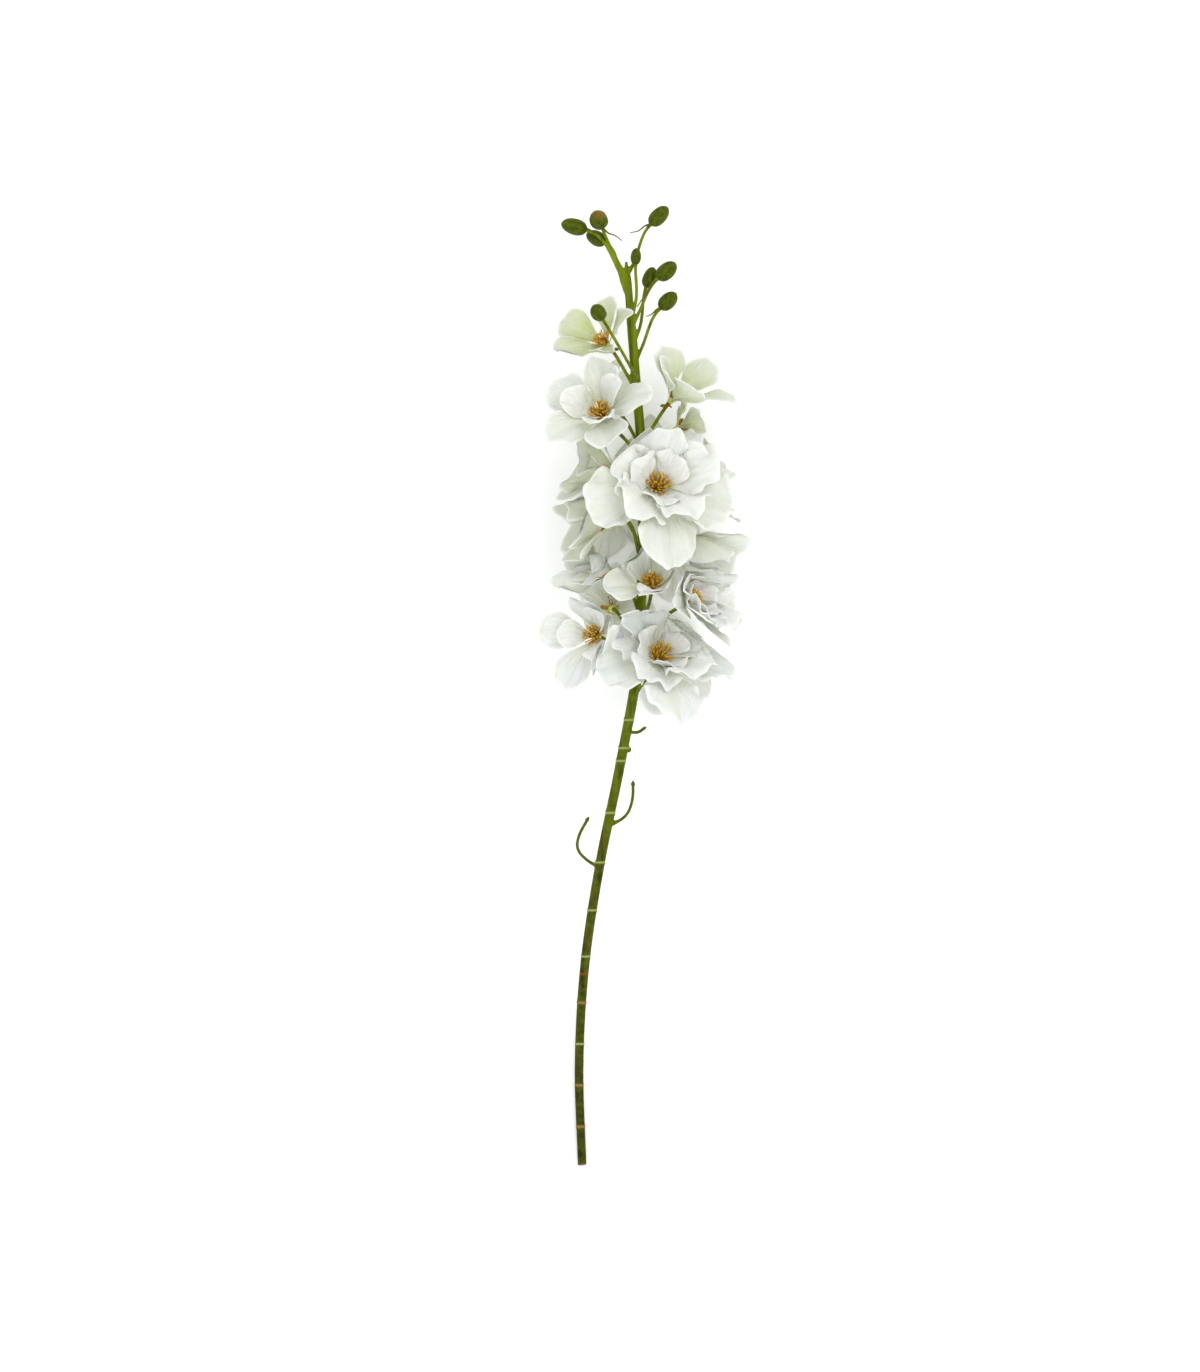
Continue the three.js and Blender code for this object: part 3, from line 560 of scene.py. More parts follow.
# %% Group: fibres
fibres, inside, outside = new_group(
    "fibres",
    [("Vector", "Vector", None), ("Across", "Float", 30.0), ("Along", "Float", 1.5),
     ("Sharpness", "Float", 0.5)],
    [("Mask", "Float")])
stretch = new_node(fibres, "ShaderNodeCombineXYZ")
fibres.links.new(inside.outputs["Across"], stretch.inputs["X"])
fibres.links.new(inside.outputs["Along"], stretch.inputs["Y"])
fibres.links.new(inside.outputs["Across"], stretch.inputs["Z"])
stretched = new_node(fibres, "ShaderNodeVectorMath", operation="MULTIPLY")
fibres.links.new(inside.outputs["Vector"], stretched.inputs[0])
fibres.links.new(stretch.outputs[0], stretched.inputs[1])
grain = new_node(fibres, "ShaderNodeTexNoise", Scale=1.0, Detail=3.0, Roughness=0.55)
fibres.links.new(stretched.outputs[0], grain.inputs["Vector"])
contrast = worked(fibres, "ADD", worked(fibres, "MULTIPLY", inside.outputs["Sharpness"], 5.0), 0.5)
spread = worked(fibres, "MULTIPLY", worked(fibres, "SUBTRACT", grain.outputs["Fac"], 0.5), contrast)
fibres.links.new(worked(fibres, "ADD", spread, 0.5, clamp=True), outside.inputs["Mask"])

# %% Group: mottle
mottle, inside, outside = new_group(
    "mottle",
    [("Vector", "Vector", None), ("Scale", "Float", 200.0), ("Colour", "Color", None),
     ("Patches", "Color", None), ("Amount", "Float", 0.5)],
    [("Colour", "Color")])
cloud = new_node(mottle, "ShaderNodeTexNoise", Detail=4.0, Roughness=0.6)
mottle.links.new(inside.outputs["Vector"], cloud.inputs["Vector"])
mottle.links.new(inside.outputs["Scale"], cloud.inputs["Scale"])
patchy = worked(mottle, "MULTIPLY", eased(mottle, cloud.outputs["Fac"], 0.4, 0.64), inside.outputs["Amount"])
mottle.links.new(mixed(mottle, patchy, inside.outputs["Colour"], inside.outputs["Patches"]),
                 outside.inputs["Colour"])
print("groups:", [group.name for group in (fibres, mottle)])

# %% Starting a finish


def new_finish(name, **shader):
    """A material with a Principled shader, whose even values are set on its own sockets."""
    material = bpy.data.materials.new(name)
    material.use_nodes = True
    tree = material.node_tree
    principled = tree.nodes["Principled BSDF"]
    for socket, value in shader.items():
        principled.inputs[socket.replace("_", " ")].default_value = value
    return material, tree, principled


def placed_group(tree, group, vector, **values):
    """A node group in a finish, with its own values on its named sockets."""
    node = new_node(tree, "ShaderNodeGroup", node_tree=group)
    tree.links.new(vector, node.inputs["Vector"])
    for label, value in values.items():
        if isinstance(value, bpy.types.NodeSocket):
            tree.links.new(value, node.inputs[label])
        else:
            node.inputs[label].default_value = value
    return node


def bumped(tree, height, distance, strength=1.0, under=None):
    """A Bump node over a height. Distance is the relief in metres."""
    bump = new_node(tree, "ShaderNodeBump", Strength=strength, Distance=distance)
    tree.links.new(height, bump.inputs["Height"])
    if under is not None:
        tree.links.new(under, bump.inputs["Normal"])
    return bump.outputs["Normal"]


# %% [markdown]
# ## Petal cloth
#
# The cloth is thin, white and a little glossy along its folds, and light comes through it, so the shader
# takes some subsurface light. Its colour follows the petal's own UV map, in which V runs from root to
# tip: yellow green in the throat, then a green haze, then white. Broad folds are laid on in a darker green
# as painted shade, and the veins in the same colour. Four values ride on the mesh itself: flush makes the
# youngest blooms greener, a shade value paints a dull greenish shade over whole blooms, most of all on
# those that the others shade, tone makes one petal cooler than the next, and rim paints light on the edge
# of each petal and on the inner whorls.

# %% Finish: petal cloth
WHITE = (0.8, 0.805, 0.735, 1)
COOL = (0.64, 0.675, 0.72, 1)
# Painted shade, laid over whole blooms, most of all on those that the others shade.
PAINTED_SHADE_COLOUR = (0.43, 0.45, 0.36, 1)
# Painted shade in the broad folds, and the colour of the cloth's veins.
VEIN_AND_FOLD_SHADE = (0.6, 0.635, 0.49, 1)
# Painted light on the edge of each petal and on the inner whorls.
RIM_LIGHT_COLOUR = (0.95, 0.95, 0.89, 1)
HAZE = (0.66, 0.71, 0.42, 1)
THROAT = (0.54, 0.58, 0.08, 1)
YOUNG = (0.4, 0.48, 0.125, 1)
# Shares of the way from tip to root between which each of these colours sets in.
HAZE_PART = (0.42, 0.86)
YOUNG_PART = (0.0, 0.75)
THROAT_PART = (0.84, 1.0)
CLOTH_LAYERS = SimpleNamespace(haze=0.75, young=0.45, folds=0.52, veins=0.16, rim_light=0.6)
CLOTH_RELIEF = SimpleNamespace(folds=0.0008, veins=0.0002, weave=0.00003)      # in metres

petal_cloth, tree, principled = new_finish(
    "petal_cloth", Roughness=0.6, Subsurface_Weight=0.45, Subsurface_Scale=0.003, Sheen_Weight=0.2,
    Sheen_Roughness=0.45, IOR=1.38)
principled.inputs["Subsurface Radius"].default_value = (1.0, 1.0, 0.85)
coordinates = new_node(tree, "ShaderNodeTexCoord")
flush, tone, painted_shade, rim = (painted(tree, name) for name in ("flush", "tone", "painted_shade", "rim"))
split = new_node(tree, "ShaderNodeSeparateXYZ")
tree.links.new(coordinates.outputs["UV"], split.inputs[0])
own_place = new_node(tree, "ShaderNodeCombineXYZ")
for value, socket in zip((split.outputs["X"], split.outputs["Y"], tone), own_place.inputs):
    tree.links.new(value, socket)
veins = placed_group(tree, fibres, own_place.outputs[0], Across=38.0, Along=1.6, Sharpness=0.35)
folds = placed_group(tree, fibres, own_place.outputs[0], Across=7.0, Along=1.8, Sharpness=0.5)
colour = mixed(tree, tone, WHITE, COOL)
# Painted shade: whole blooms are dulled towards a greenish shade colour.
colour = mixed(tree, painted_shade, colour, PAINTED_SHADE_COLOUR)
from_tip = worked(tree, "SUBTRACT", 1.0, split.outputs["Y"])
colour = laid(tree, eased(tree, from_tip, *HAZE_PART), CLOTH_LAYERS.haze, colour, HAZE)
young = worked(tree, "ADD", eased(tree, from_tip, *YOUNG_PART), CLOTH_LAYERS.young)
colour = mixed(tree, worked(tree, "MULTIPLY", flush, young, clamp=True), colour, YOUNG)
# Painted shade: the broad folds are laid darker and greener. The veins are the cloth's own lines in the same
# colour.
colour = laid(tree, folds.outputs["Mask"], CLOTH_LAYERS.folds, colour, VEIN_AND_FOLD_SHADE)
colour = laid(tree, veins.outputs["Mask"], CLOTH_LAYERS.veins, colour, VEIN_AND_FOLD_SHADE)
# Painted light: the edge of each petal, and the inner whorls, are laid paler.
colour = laid(tree, rim, CLOTH_LAYERS.rim_light, colour, RIM_LIGHT_COLOUR)
colour = mixed(tree, eased(tree, from_tip, *THROAT_PART), colour, THROAT)
tree.links.new(colour, principled.inputs["Base Color"])
weave = new_node(tree, "ShaderNodeTexNoise", Scale=2600.0, Detail=1.0)
tree.links.new(coordinates.outputs["Object"], weave.inputs["Vector"])
normal = bumped(tree, folds.outputs["Mask"], CLOTH_RELIEF.folds)
normal = bumped(tree, veins.outputs["Mask"], CLOTH_RELIEF.veins, under=normal)
normal = bumped(tree, weave.outputs["Fac"], CLOTH_RELIEF.weave, 0.6, under=normal)
tree.links.new(normal, principled.inputs["Normal"])

# %% [markdown]
# ## Plastic stem and buds
#
# The stem is moulded in olive plastic and streaked lengthwise, dark and light side by side. It is darker
# low down. A thin pale line marks each joint, and some of the joints and the tops of some stalks blush
# red-brown. Where a joint or a blush is comes from the shape, so those masks are painted on the mesh and
# the finish only reads them.

# %% Finish: stem
OLIVE = (0.17, 0.22, 0.001, 1)
OLIVE_DARK = (0.035, 0.046, 0.001, 1)
OLIVE_PALE = (0.22, 0.27, 0.008, 1)
LOW_SHADE = (0.21, 0.18, 0.25, 1)      # what the low part of the stem is darkened by
LOW_PART = (0.2, -0.28)     # metres along the spike between which that shade sets in
JOINT_LINE = (0.42, 0.5, 0.16, 1)
RUST = (0.22, 0.06, 0.006, 1)
STEM_LAYERS = SimpleNamespace(broad=0.85, streaks=0.6, mottle=0.16)
STREAK_RELIEF = 0.00025

stem_plastic, tree, principled = new_finish("stem_plastic", Roughness=0.45, Specular_IOR_Level=0.07)
coordinates = new_node(tree, "ShaderNodeTexCoord")
streaks = placed_group(tree, fibres, coordinates.outputs["Object"], Across=420.0, Along=9.0, Sharpness=0.9)
broad = placed_group(tree, fibres, coordinates.outputs["Object"], Across=170.0, Along=5.0, Sharpness=0.7)
split = new_node(tree, "ShaderNodeSeparateXYZ")
tree.links.new(coordinates.outputs["Object"], split.inputs[0])
colour = laid(tree, broad.outputs["Mask"], STEM_LAYERS.broad, OLIVE, OLIVE_DARK)
colour = laid(tree, streaks.outputs["Mask"], STEM_LAYERS.streaks, colour, OLIVE_PALE)
colour = mixed(tree, eased(tree, split.outputs["Y"], *LOW_PART), colour, LOW_SHADE, "MULTIPLY")
mottled = placed_group(tree, mottle, coordinates.outputs["Object"], Scale=260.0, Colour=colour,
                       Patches=OLIVE_PALE, Amount=STEM_LAYERS.mottle)
colour = mixed(tree, painted(tree, "joint"), mottled.outputs["Colour"], JOINT_LINE)
colour = mixed(tree, painted(tree, "blush"), colour, RUST)
tree.links.new(colour, principled.inputs["Base Color"])
tree.links.new(bumped(tree, streaks.outputs["Mask"], STREAK_RELIEF, 0.7), principled.inputs["Normal"])

# %% Finish: bud
BUD_GREEN = (0.042, 0.058, 0.001, 1)
BUD_PATCHES = (0.1, 0.13, 0.002, 1)
BUD_LINES = (0.15, 0.2, 0.01, 1)
BUD_SEAM = (0.02, 0.045, 0.004, 1)
BUD_BLUSH = (0.25, 0.13, 0.022, 1)
BUD_LAYERS = SimpleNamespace(patches=0.6, lines=0.3, seam=0.6)
LINE_RELIEF = 0.00018

bud_plastic, tree, principled = new_finish("bud_plastic", Roughness=0.38, Specular_IOR_Level=0.06)
coordinates = new_node(tree, "ShaderNodeTexCoord")
lines = placed_group(tree, fibres, coordinates.outputs["UV"], Across=26.0, Along=2.5, Sharpness=0.9)
mottled = placed_group(tree, mottle, coordinates.outputs["Object"], Scale=420.0, Colour=BUD_GREEN,
                       Patches=BUD_PATCHES, Amount=BUD_LAYERS.patches)
colour = laid(tree, lines.outputs["Mask"], BUD_LAYERS.lines, mottled.outputs["Colour"], BUD_LINES)
colour = laid(tree, painted(tree, "seam"), BUD_LAYERS.seam, colour, BUD_SEAM)
colour = mixed(tree, painted(tree, "blush"), colour, BUD_BLUSH)
tree.links.new(colour, principled.inputs["Base Color"])
tree.links.new(bumped(tree, lines.outputs["Mask"], LINE_RELIEF, 0.7), principled.inputs["Normal"])

# %% Finish: stamens
GOLD = (0.75, 0.5, 0.035, 1)
AMBER = (0.52, 0.25, 0.01, 1)
THREAD_FOOT = (0.26, 0.15, 0.006, 1)
ANTHER = (0.87, 0.6, 0.1, 1)
POLLEN = (0.36, 0.15, 0.01, 1)
FOOT_PART = (0.45, 0.0)     # shares of a stamen's height between which the colour sets in
ANTHER_PART = (0.82, 1.0)
TUFT_LAYERS = SimpleNamespace(anther=0.6, pollen=0.35)

stamen_gold, tree, principled = new_finish("stamen_gold", Roughness=0.5, Subsurface_Weight=0.1,
                                           Subsurface_Scale=0.0008)
coordinates = new_node(tree, "ShaderNodeTexCoord")
height = painted(tree, "height")
colour = mixed(tree, painted(tree, "tone"), GOLD, AMBER)
colour = mixed(tree, eased(tree, height, *FOOT_PART), colour, THREAD_FOOT)
colour = laid(tree, eased(tree, height, *ANTHER_PART), TUFT_LAYERS.anther, colour, ANTHER)
mottled = placed_group(tree, mottle, coordinates.outputs["Object"], Scale=900.0, Colour=colour,
                       Patches=POLLEN, Amount=TUFT_LAYERS.pollen)
tree.links.new(mottled.outputs["Colour"], principled.inputs["Base Color"])

# %% Finish: floor
PAPER = (0.98, 0.98, 0.98, 1)
PAPER_PATCHES = (0.96, 0.96, 0.96, 1)
GLOW = 0.12                 # a faint light of its own keeps the paper white round the spike

studio_paper, tree, principled = new_finish("studio_paper", Roughness=0.85, Emission_Color=(1, 1, 1, 1),
                                            Emission_Strength=GLOW)
coordinates = new_node(tree, "ShaderNodeTexCoord")
mottled = placed_group(tree, mottle, coordinates.outputs["Object"], Scale=40.0, Colour=PAPER,
                       Patches=PAPER_PATCHES, Amount=0.2)
tree.links.new(mottled.outputs["Colour"], principled.inputs["Base Color"])
floor.data.materials.append(studio_paper)
finishes = (petal_cloth, stem_plastic, bud_plastic, stamen_gold, studio_paper)
print("finishes:", [finish.name for finish in finishes])

# %% [markdown]
# ## Making the petals
#
# A petal starts as a grid. Each of its corners is moved to the disc, and from there to the petal's
# surface, so the grid's squares bunch up at the root, where the cloth is pleated, and spread out at the
# rim. Solidify then gives the cloth its thickness. A subdivided plane pushed about with proportional
# editing would give one petal; the formula gives them all, and keeps them behind their planes.

# %% Mesh helpers


def fresh(operator, **settings):
    """Adds one primitive with nothing else selected, and gives its object."""
    bpy.ops.object.select_all(action="DESELECT")
    operator(**settings)
    return bpy.context.object


def corners_of(piece):
    """A piece's corners as an array."""
    points = np.zeros(len(piece.data.vertices) * 3)
    piece.data.vertices.foreach_get("co", points)
    return points.reshape(-1, 3)


def shape(piece, points):
    """Moves a piece's corners to points in millimetres, and so into metres."""
    piece.data.vertices.foreach_set("co", (np.asarray(points) * MM).ravel())
    piece.data.update()


def map_uv(piece, u, v):
    """Gives each corner its place in the piece's UV map."""
    layer = piece.data.uv_layers.get("UVMap") or piece.data.uv_layers.new(name="UVMap")
    corner = np.zeros(len(piece.data.loops), int)
    piece.data.loops.foreach_get("vertex_index", corner)
    layer.data.foreach_set("uv", np.column_stack([u, v])[corner].ravel())


def paint(piece, name, values):
    """Writes a number on each corner, for a finish to read."""
    layer = piece.data.attributes.get(name) or piece.data.attributes.new(name, "FLOAT", "POINT")
    values = np.broadcast_to(np.asarray(values, np.float32), len(piece.data.vertices))
    layer.data.foreach_set("value", np.ascontiguousarray(values))


def apply_modifier(piece, kind, **settings):
    """Adds a modifier and applies it."""
    bpy.context.view_layer.objects.active = piece
    modifier = piece.modifiers.new(kind.lower(), kind)
    for name, value in settings.items():
        setattr(modifier, name, value)
    bpy.ops.object.modifier_apply(modifier=modifier.name)


def joined(pieces, name):
    """Joins pieces in one object."""
    bpy.ops.object.select_all(action="DESELECT")
    for piece in pieces:
        piece.select_set(True)
    bpy.context.view_layer.objects.active = pieces[0]
    if len(pieces) > 1:
        bpy.ops.object.join()
    pieces[0].name = name
    pieces[0].data.name = name
    return pieces[0]


def finished(piece, finish, slot, *nodes, angle=50):
    """Smooths a piece, gives it its finish, and puts it in the place of its solids."""
    bpy.ops.object.select_all(action="DESELECT")
    piece.select_set(True)
    bpy.context.view_layer.objects.active = piece
    bpy.ops.object.shade_smooth_by_angle(angle=math.radians(angle))
    piece.data.materials.clear()
    piece.data.materials.append(finish)
    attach(piece, "root")
    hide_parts(*nodes)
    return sum(len(polygon.vertices) - 2 for polygon in piece.data.polygons)


# %% A petal's mesh
GRID = {0: (25, 29), 1: (23, 25), 2: (21, 21)}     # squares across and along, for each whorl
CLOTH = 0.42                # thickness of the petal cloth
TONE = 0.25                 # how cool a petal is, on the whole
RIM_LIGHT_FROM = 0.86             # radius of the disc at which the painted light on the rim starts
INNER_LIGHT = 0.6            # each whorl further in gets this share more of that painted light


def petal_mesh(petal, flush):
    """One petal, from a grid."""
    columns, rows = GRID[petal.ring]
    piece = fresh(bpy.ops.mesh.primitive_grid_add, x_subdivisions=columns, y_subdivisions=rows, size=2)
    flat = corners_of(piece)
    across = flat[:, 0] * np.sqrt(1 - flat[:, 1] ** 2 / 2)
    along = flat[:, 1] * np.sqrt(1 - flat[:, 0] ** 2 / 2)
    shape(piece, petal_points(petal, across, along))
    map_uv(piece, (across + 1) / 2, (along + 1) / 2)
    cooler = petal.cool if petal.ring == 0 else 0
    rim_light = smoothstep(np.hypot(across, along), RIM_LIGHT_FROM, 1)
    paint(piece, "flush", np.clip(flush * (1 + UNLIKE.flush * draw(petal.seed, 7)), 0, 1))
    paint(piece, "tone", np.clip(TONE + UNLIKE.tone * draw(petal.seed, 8) + cooler, 0, 1))
    # Painted shade over the whole bloom.
    paint(piece, "painted_shade", petal.painted_shade)
    # Painted light on the edge of the petal, and more on each whorl further in.
    paint(piece, "rim", np.clip(rim_light + INNER_LIGHT * petal.ring, 0, 1))
    apply_modifier(piece, "SOLIDIFY", thickness=CLOTH * MM, offset=0)
    return piece


# %% The cup under the petals
CUP = [(1.0, 0.3), (1.75, 0.45), (2.15, 1.6), (2.55, 3.2), (2.7, 4.6)]     # radius and height
LIKE_PETAL = 60             # the cup is coloured as the throat of a petal of this length
CUP_PAINT = dict(flush=0.6, tone=0.2, painted_shade=0, rim=0)


def cup_mesh(bloom):
    """The small green cup that petals and stamens stand in: a circle, extruded ring by ring."""
    piece = fresh(bpy.ops.mesh.primitive_circle_add, vertices=20, radius=1, fill_type="NGON")
    bpy.ops.object.mode_set(mode="EDIT")
    for _ in CUP[1:]:
        bpy.ops.mesh.extrude_region_move(TRANSFORM_OT_translate={"value": (0, 0, 1)})
    bpy.ops.object.mode_set(mode="OBJECT")
    points = corners_of(piece)
    radius, height = np.array(CUP)[np.rint(points[:, 2]).astype(int)].T
    shape(piece, bloom.base + np.outer(radius * points[:, 0], bloom.right)
          + np.outer(radius * points[:, 1], bloom.up) + np.outer(height, bloom.facing))
    map_uv(piece, np.full(len(points), 0.5), height / LIKE_PETAL)
    for name, value in CUP_PAINT.items():
        paint(piece, name, value)
    return piece


# %% All the blooms
GREENISH = 0.25             # blooms greener than this are passed the name petal_green, the rest petal_white
total = 0
for bloom in blooms:
    pieces = [petal_mesh(petal, bloom.green) for petal in all_petals[bloom.number]] + [cup_mesh(bloom)]
    number = f"{bloom.number:02d}"
    head = joined(pieces, "petals_" + number)
    total += finished(head, petal_cloth, "petal_green" if bloom.green > GREENISH else "petal_white",
                      "bloom_" + number)
print(len(blooms), "blooms,", total, "triangles")

# %% [markdown]
# ## Stamens
#
# A tuft has a few dozen stamens: thin threads, darkest at the foot, each with a small anther at its tip.
# One straight stamen is modelled with extrude, then copied and bent. They are set out by the golden
# angle, as seeds are, which fills a round patch evenly without a pattern that the eye can follow.

# %% One straight stamen
THREAD_SIDES = 5
# Radius in millimetres, and height as a share of the whole length.
PROFILE = [(0.4, 0), (0.38, 0.25), (0.36, 0.5), (0.34, 0.7), (0.36, 0.8), (0.55, 0.87), (0.57, 0.95),
           (0.25, 1.0)]

stamen = fresh(bpy.ops.mesh.primitive_circle_add, vertices=THREAD_SIDES, radius=1, fill_type="NGON")
bpy.ops.object.mode_set(mode="EDIT")
for _ in PROFILE[1:]:
    bpy.ops.mesh.extrude_region_move(TRANSFORM_OT_translate={"value": (0, 0, 1)})
bpy.ops.object.mode_set(mode="OBJECT")
straight = corners_of(stamen)
thread_radius, thread_height = np.array(PROFILE)[np.rint(straight[:, 2]).astype(int)].T
print("one stamen:", len(straight), "corners")

# %% Tufts
THREADS = 60
FIRST_SEED = 1000
SPLAY = math.radians(54)    # how far the outermost threads lean out
GOLDEN = math.pi * (3 - math.sqrt(5))
PATCH = 1.5                 # radius of the seat that the threads stand on
SUNK = 0.2                  # how deep they stand in it
THREAD = SimpleNamespace(longest=0.98, outer_shorter=0.1, inwards=0.2)
THREAD_UNLIKE = SimpleNamespace(turn=0.5, length=0.1, tilt=0.12, twist=0.12)


def bent_stamen(bloom, i):
    """A copy of the straight stamen, set in its tuft and bent inwards at the tip."""
    share = math.sqrt((i + 0.5) / THREADS)
    seed = FIRST_SEED + THREADS * bloom.number + i
    out = in_flat(bloom, GOLDEN * i + THREAD_UNLIKE.turn * draw(seed, 1))
    side = np.cross(bloom.facing, out)
    scale = THREAD.longest - THREAD.outer_shorter * share + THREAD_UNLIKE.length * draw(seed, 2)
    length = STAMEN_LENGTH * bloom.reach * scale
    tilt = SPLAY * share * (1 + THREAD_UNLIKE.tilt * draw(seed, 3)) * (1 - THREAD.inwards * thread_height)
    twist = THREAD_UNLIKE.twist * draw(seed, 4) * thread_height
    foot = bloom.base + bloom.facing * (SEAT_HEIGHT - SUNK) + out * PATCH * share
    piece = stamen.copy()
    piece.data = stamen.data.copy()
    bpy.context.scene.collection.objects.link(piece)
    rise = thread_height * length * np.cos(tilt)
    reach = thread_height * length * np.sin(tilt)
    shape(piece, foot + np.outer(rise, bloom.facing) + np.outer(reach + thread_radius * straight[:, 0], out)
          + np.outer(twist * length + thread_radius * straight[:, 1], side))
    paint(piece, "height", thread_height)
    paint(piece, "tone", 0.5 + 0.5 * draw(seed, 5))
    return piece


total = 0
for bloom in blooms:
    number = f"{bloom.number:02d}"
    tuft = joined([bent_stamen(bloom, i) for i in range(THREADS)], "tuft_" + number)
    total += finished(tuft, stamen_gold, "stamen_gold", "stamens_" + number)
bpy.data.objects.remove(stamen)
print(len(blooms), "tufts,", total, "triangles")

# %% [markdown]
# ## Stem, stalks and pegs
#
# The stem and all that branches off it came out of one mould, with soft fillets where a stalk leaves the
# rod. Each branch is drawn as a curve with a radius at every point and turned into a tube. Tubes that
# only cross each other would meet in hard lines, so the whole is remeshed in small voxels and smoothed:
# that melts the crossings together, as in the mould.

# %% Tubes


def tube(points, radii, sides=12):
    """A closed tube along points in millimetres, with a radius at each."""
    path = fresh(bpy.ops.curve.primitive_nurbs_path_add)
    curve = path.data
    curve.splines.clear()
    spline = curve.splines.new("POLY")
    spline.points.add(len(points) - 1)
    spline.points.foreach_set("co", np.column_stack([np.asarray(points) * MM, np.ones(len(points))]).ravel())
    spline.points.foreach_set("radius", np.asarray(radii, float))
    curve.dimensions = "3D"
    curve.bevel_depth = MM
    curve.bevel_resolution = (sides - 4) // 2
    curve.use_fill_caps = True
    bpy.ops.object.convert(target="MESH")
    return bpy.context.object


def standing(operator, at, way, **settings):
    """A primitive that stands at a point in millimetres, with its own Z along a way."""
    turn = Vector(way).to_track_quat("Z", "Y").to_euler()
    piece = fresh(operator, location=Vector(at) * MM, rotation=turn, **settings)
    bpy.ops.object.transform_apply(location=True, rotation=True, scale=True)
    return piece


# %% The rod
STEM_RADIUS = SimpleNamespace(foot=2.75, flowers=3.2, fork=2.9)
STEM_KNEE = 0.55            # share of the rod's height at which it is thickest
THINNER = [(0.15, 215, 250), (0.6, 254, STEM_FORK_Y)]      # by a share, between two heights
JOINT_RISE = 0.45
JOINT_WIDTH = 0.6
ROD_STEPS = 560
# Heights of the ring joints, and of the red rings, one of which is on no joint.
JOINTS_Y = [-274, -248, -222, -196, -167, -138, -108, -77, -44.5, -36.5, -19]
RED_JOINTS_Y = [-274, -248, -196, -178]


def near_heights(y, heights, width):
    """1 at each of the heights, falling off smoothly within a width."""
    return sum(np.exp(-((y - height) / width) ** 2) for height in heights)


stem_y = np.linspace(STEM_FOOT_Y, STEM_FORK_Y, ROD_STEPS)
share = (stem_y - STEM_FOOT_Y) / (STEM_FORK_Y - STEM_FOOT_Y)
rod_radius = np.interp(share, [0, STEM_KNEE, 1], [STEM_RADIUS.foot, STEM_RADIUS.flowers, STEM_RADIUS.fork])
for thinner, low, high in THINNER:
    rod_radius = rod_radius * (1 - thinner * smoothstep(stem_y, low, high))
rod_radius = rod_radius + JOINT_RISE * near_heights(stem_y, JOINTS_Y, JOINT_WIDTH)
stem_pieces = [tube(stem_at(stem_y), rod_radius, sides=20)]
print("rod:", [round(2 * float(radius), 2) for radius in (rod_radius[0], rod_radius[-1])], "mm thick")

# %% Stalks
PEDICEL_RADIUS = 1.2
BUD_STALK_RADIUS = 0.9 * PEDICEL_RADIUS
DROP = 27                   # a bloom's stalk leaves the stem this far below the bloom
INTO_CUP = 0.6              # and ends this far inside the bloom's cup
STALK_SLANT = 0.7           # steps out for each step up, where a stalk leaves the stem
STALK_BOW = 0.35            # the curve's handles, as a share of the way from root to end
STALK_STEPS = 40
# A stalk thickens where it leaves the rod, and again under its flower.
SWELL = SimpleNamespace(foot=0.4, foot_at=3, foot_width=2.6, end=0.35, end_width=0.07)


def stalk(root_y, end, facing, radius, leaves=None):
    """A stalk that leaves the stem on the slant and ends the way its flower faces, thick at both ends."""
    root = stem_at(root_y)[0]
    out = end - stem_at(end[1])[0]
    out = unit(np.array([out[0], 0, out[2]]))
    reach = np.linalg.norm(end - root)
    leaving = np.array(leaves, float) if leaves else STALK_SLANT * out + UP_THE_SPIKE
    handles = [root, root + leaving * reach * STALK_BOW, end - facing * reach * STALK_BOW, end]
    t = np.linspace(0, 1, STALK_STEPS)[:, None]
    weights = [(1 - t) ** 3, 3 * t * (1 - t) ** 2, 3 * t**2 * (1 - t), t**3]
    points = sum(weight * handle for weight, handle in zip(weights, handles))
    far = np.linalg.norm(points - root, axis=1)
    at_foot = SWELL.foot * np.exp(-((far - SWELL.foot_at) / SWELL.foot_width) ** 2)
    at_end = SWELL.end * np.exp(-((1 - t[:, 0]) / SWELL.end_width) ** 2)
    return tube(points, radius * (1 + at_foot + at_end))


for bloom in blooms:
    end = bloom.base + INTO_CUP * bloom.facing
    stem_pieces.append(stalk(bloom.along - DROP, end, bloom.facing, PEDICEL_RADIUS))
print(len(stem_pieces) - 1, "stalks of blooms")

# %% Bracts
BRACT = SimpleNamespace(length=6.0, width=1.5, root=0.45, widens=0.75, thick=0.55,
                        sag=0.9, below=2.2, droop=0.1)


def bract(bloom, hand):
    """A small paddle-shaped leaf under a bloom: a ball, drawn out and flattened."""
    piece = fresh(bpy.ops.mesh.primitive_uv_sphere_add, segments=16, ring_count=12, radius=1)
    ball = corners_of(piece)
    way = unit(hand * bloom.right - BRACT.droop * bloom.facing)
    flat = unit(np.cross(way, bloom.up))
    share = (ball[:, 2] + 1) / 2
    wide = BRACT.width * (BRACT.root + BRACT.widens * smoothstep(share, 0, 0.75))
    foot = bloom.base - BRACT.below * bloom.facing
    shape(piece, foot + np.outer(share * BRACT.length, way) + np.outer(ball[:, 0] * wide, bloom.up)
          + np.outer(ball[:, 1] * BRACT.thick - BRACT.sag * share**2, flat * hand))
    return piece


for bloom in blooms:
    if bloom.bracts:
        stem_pieces += [bract(bloom, -1), bract(bloom, 1)]
print(2 * sum(bloom.bracts for bloom in blooms), "bracts")

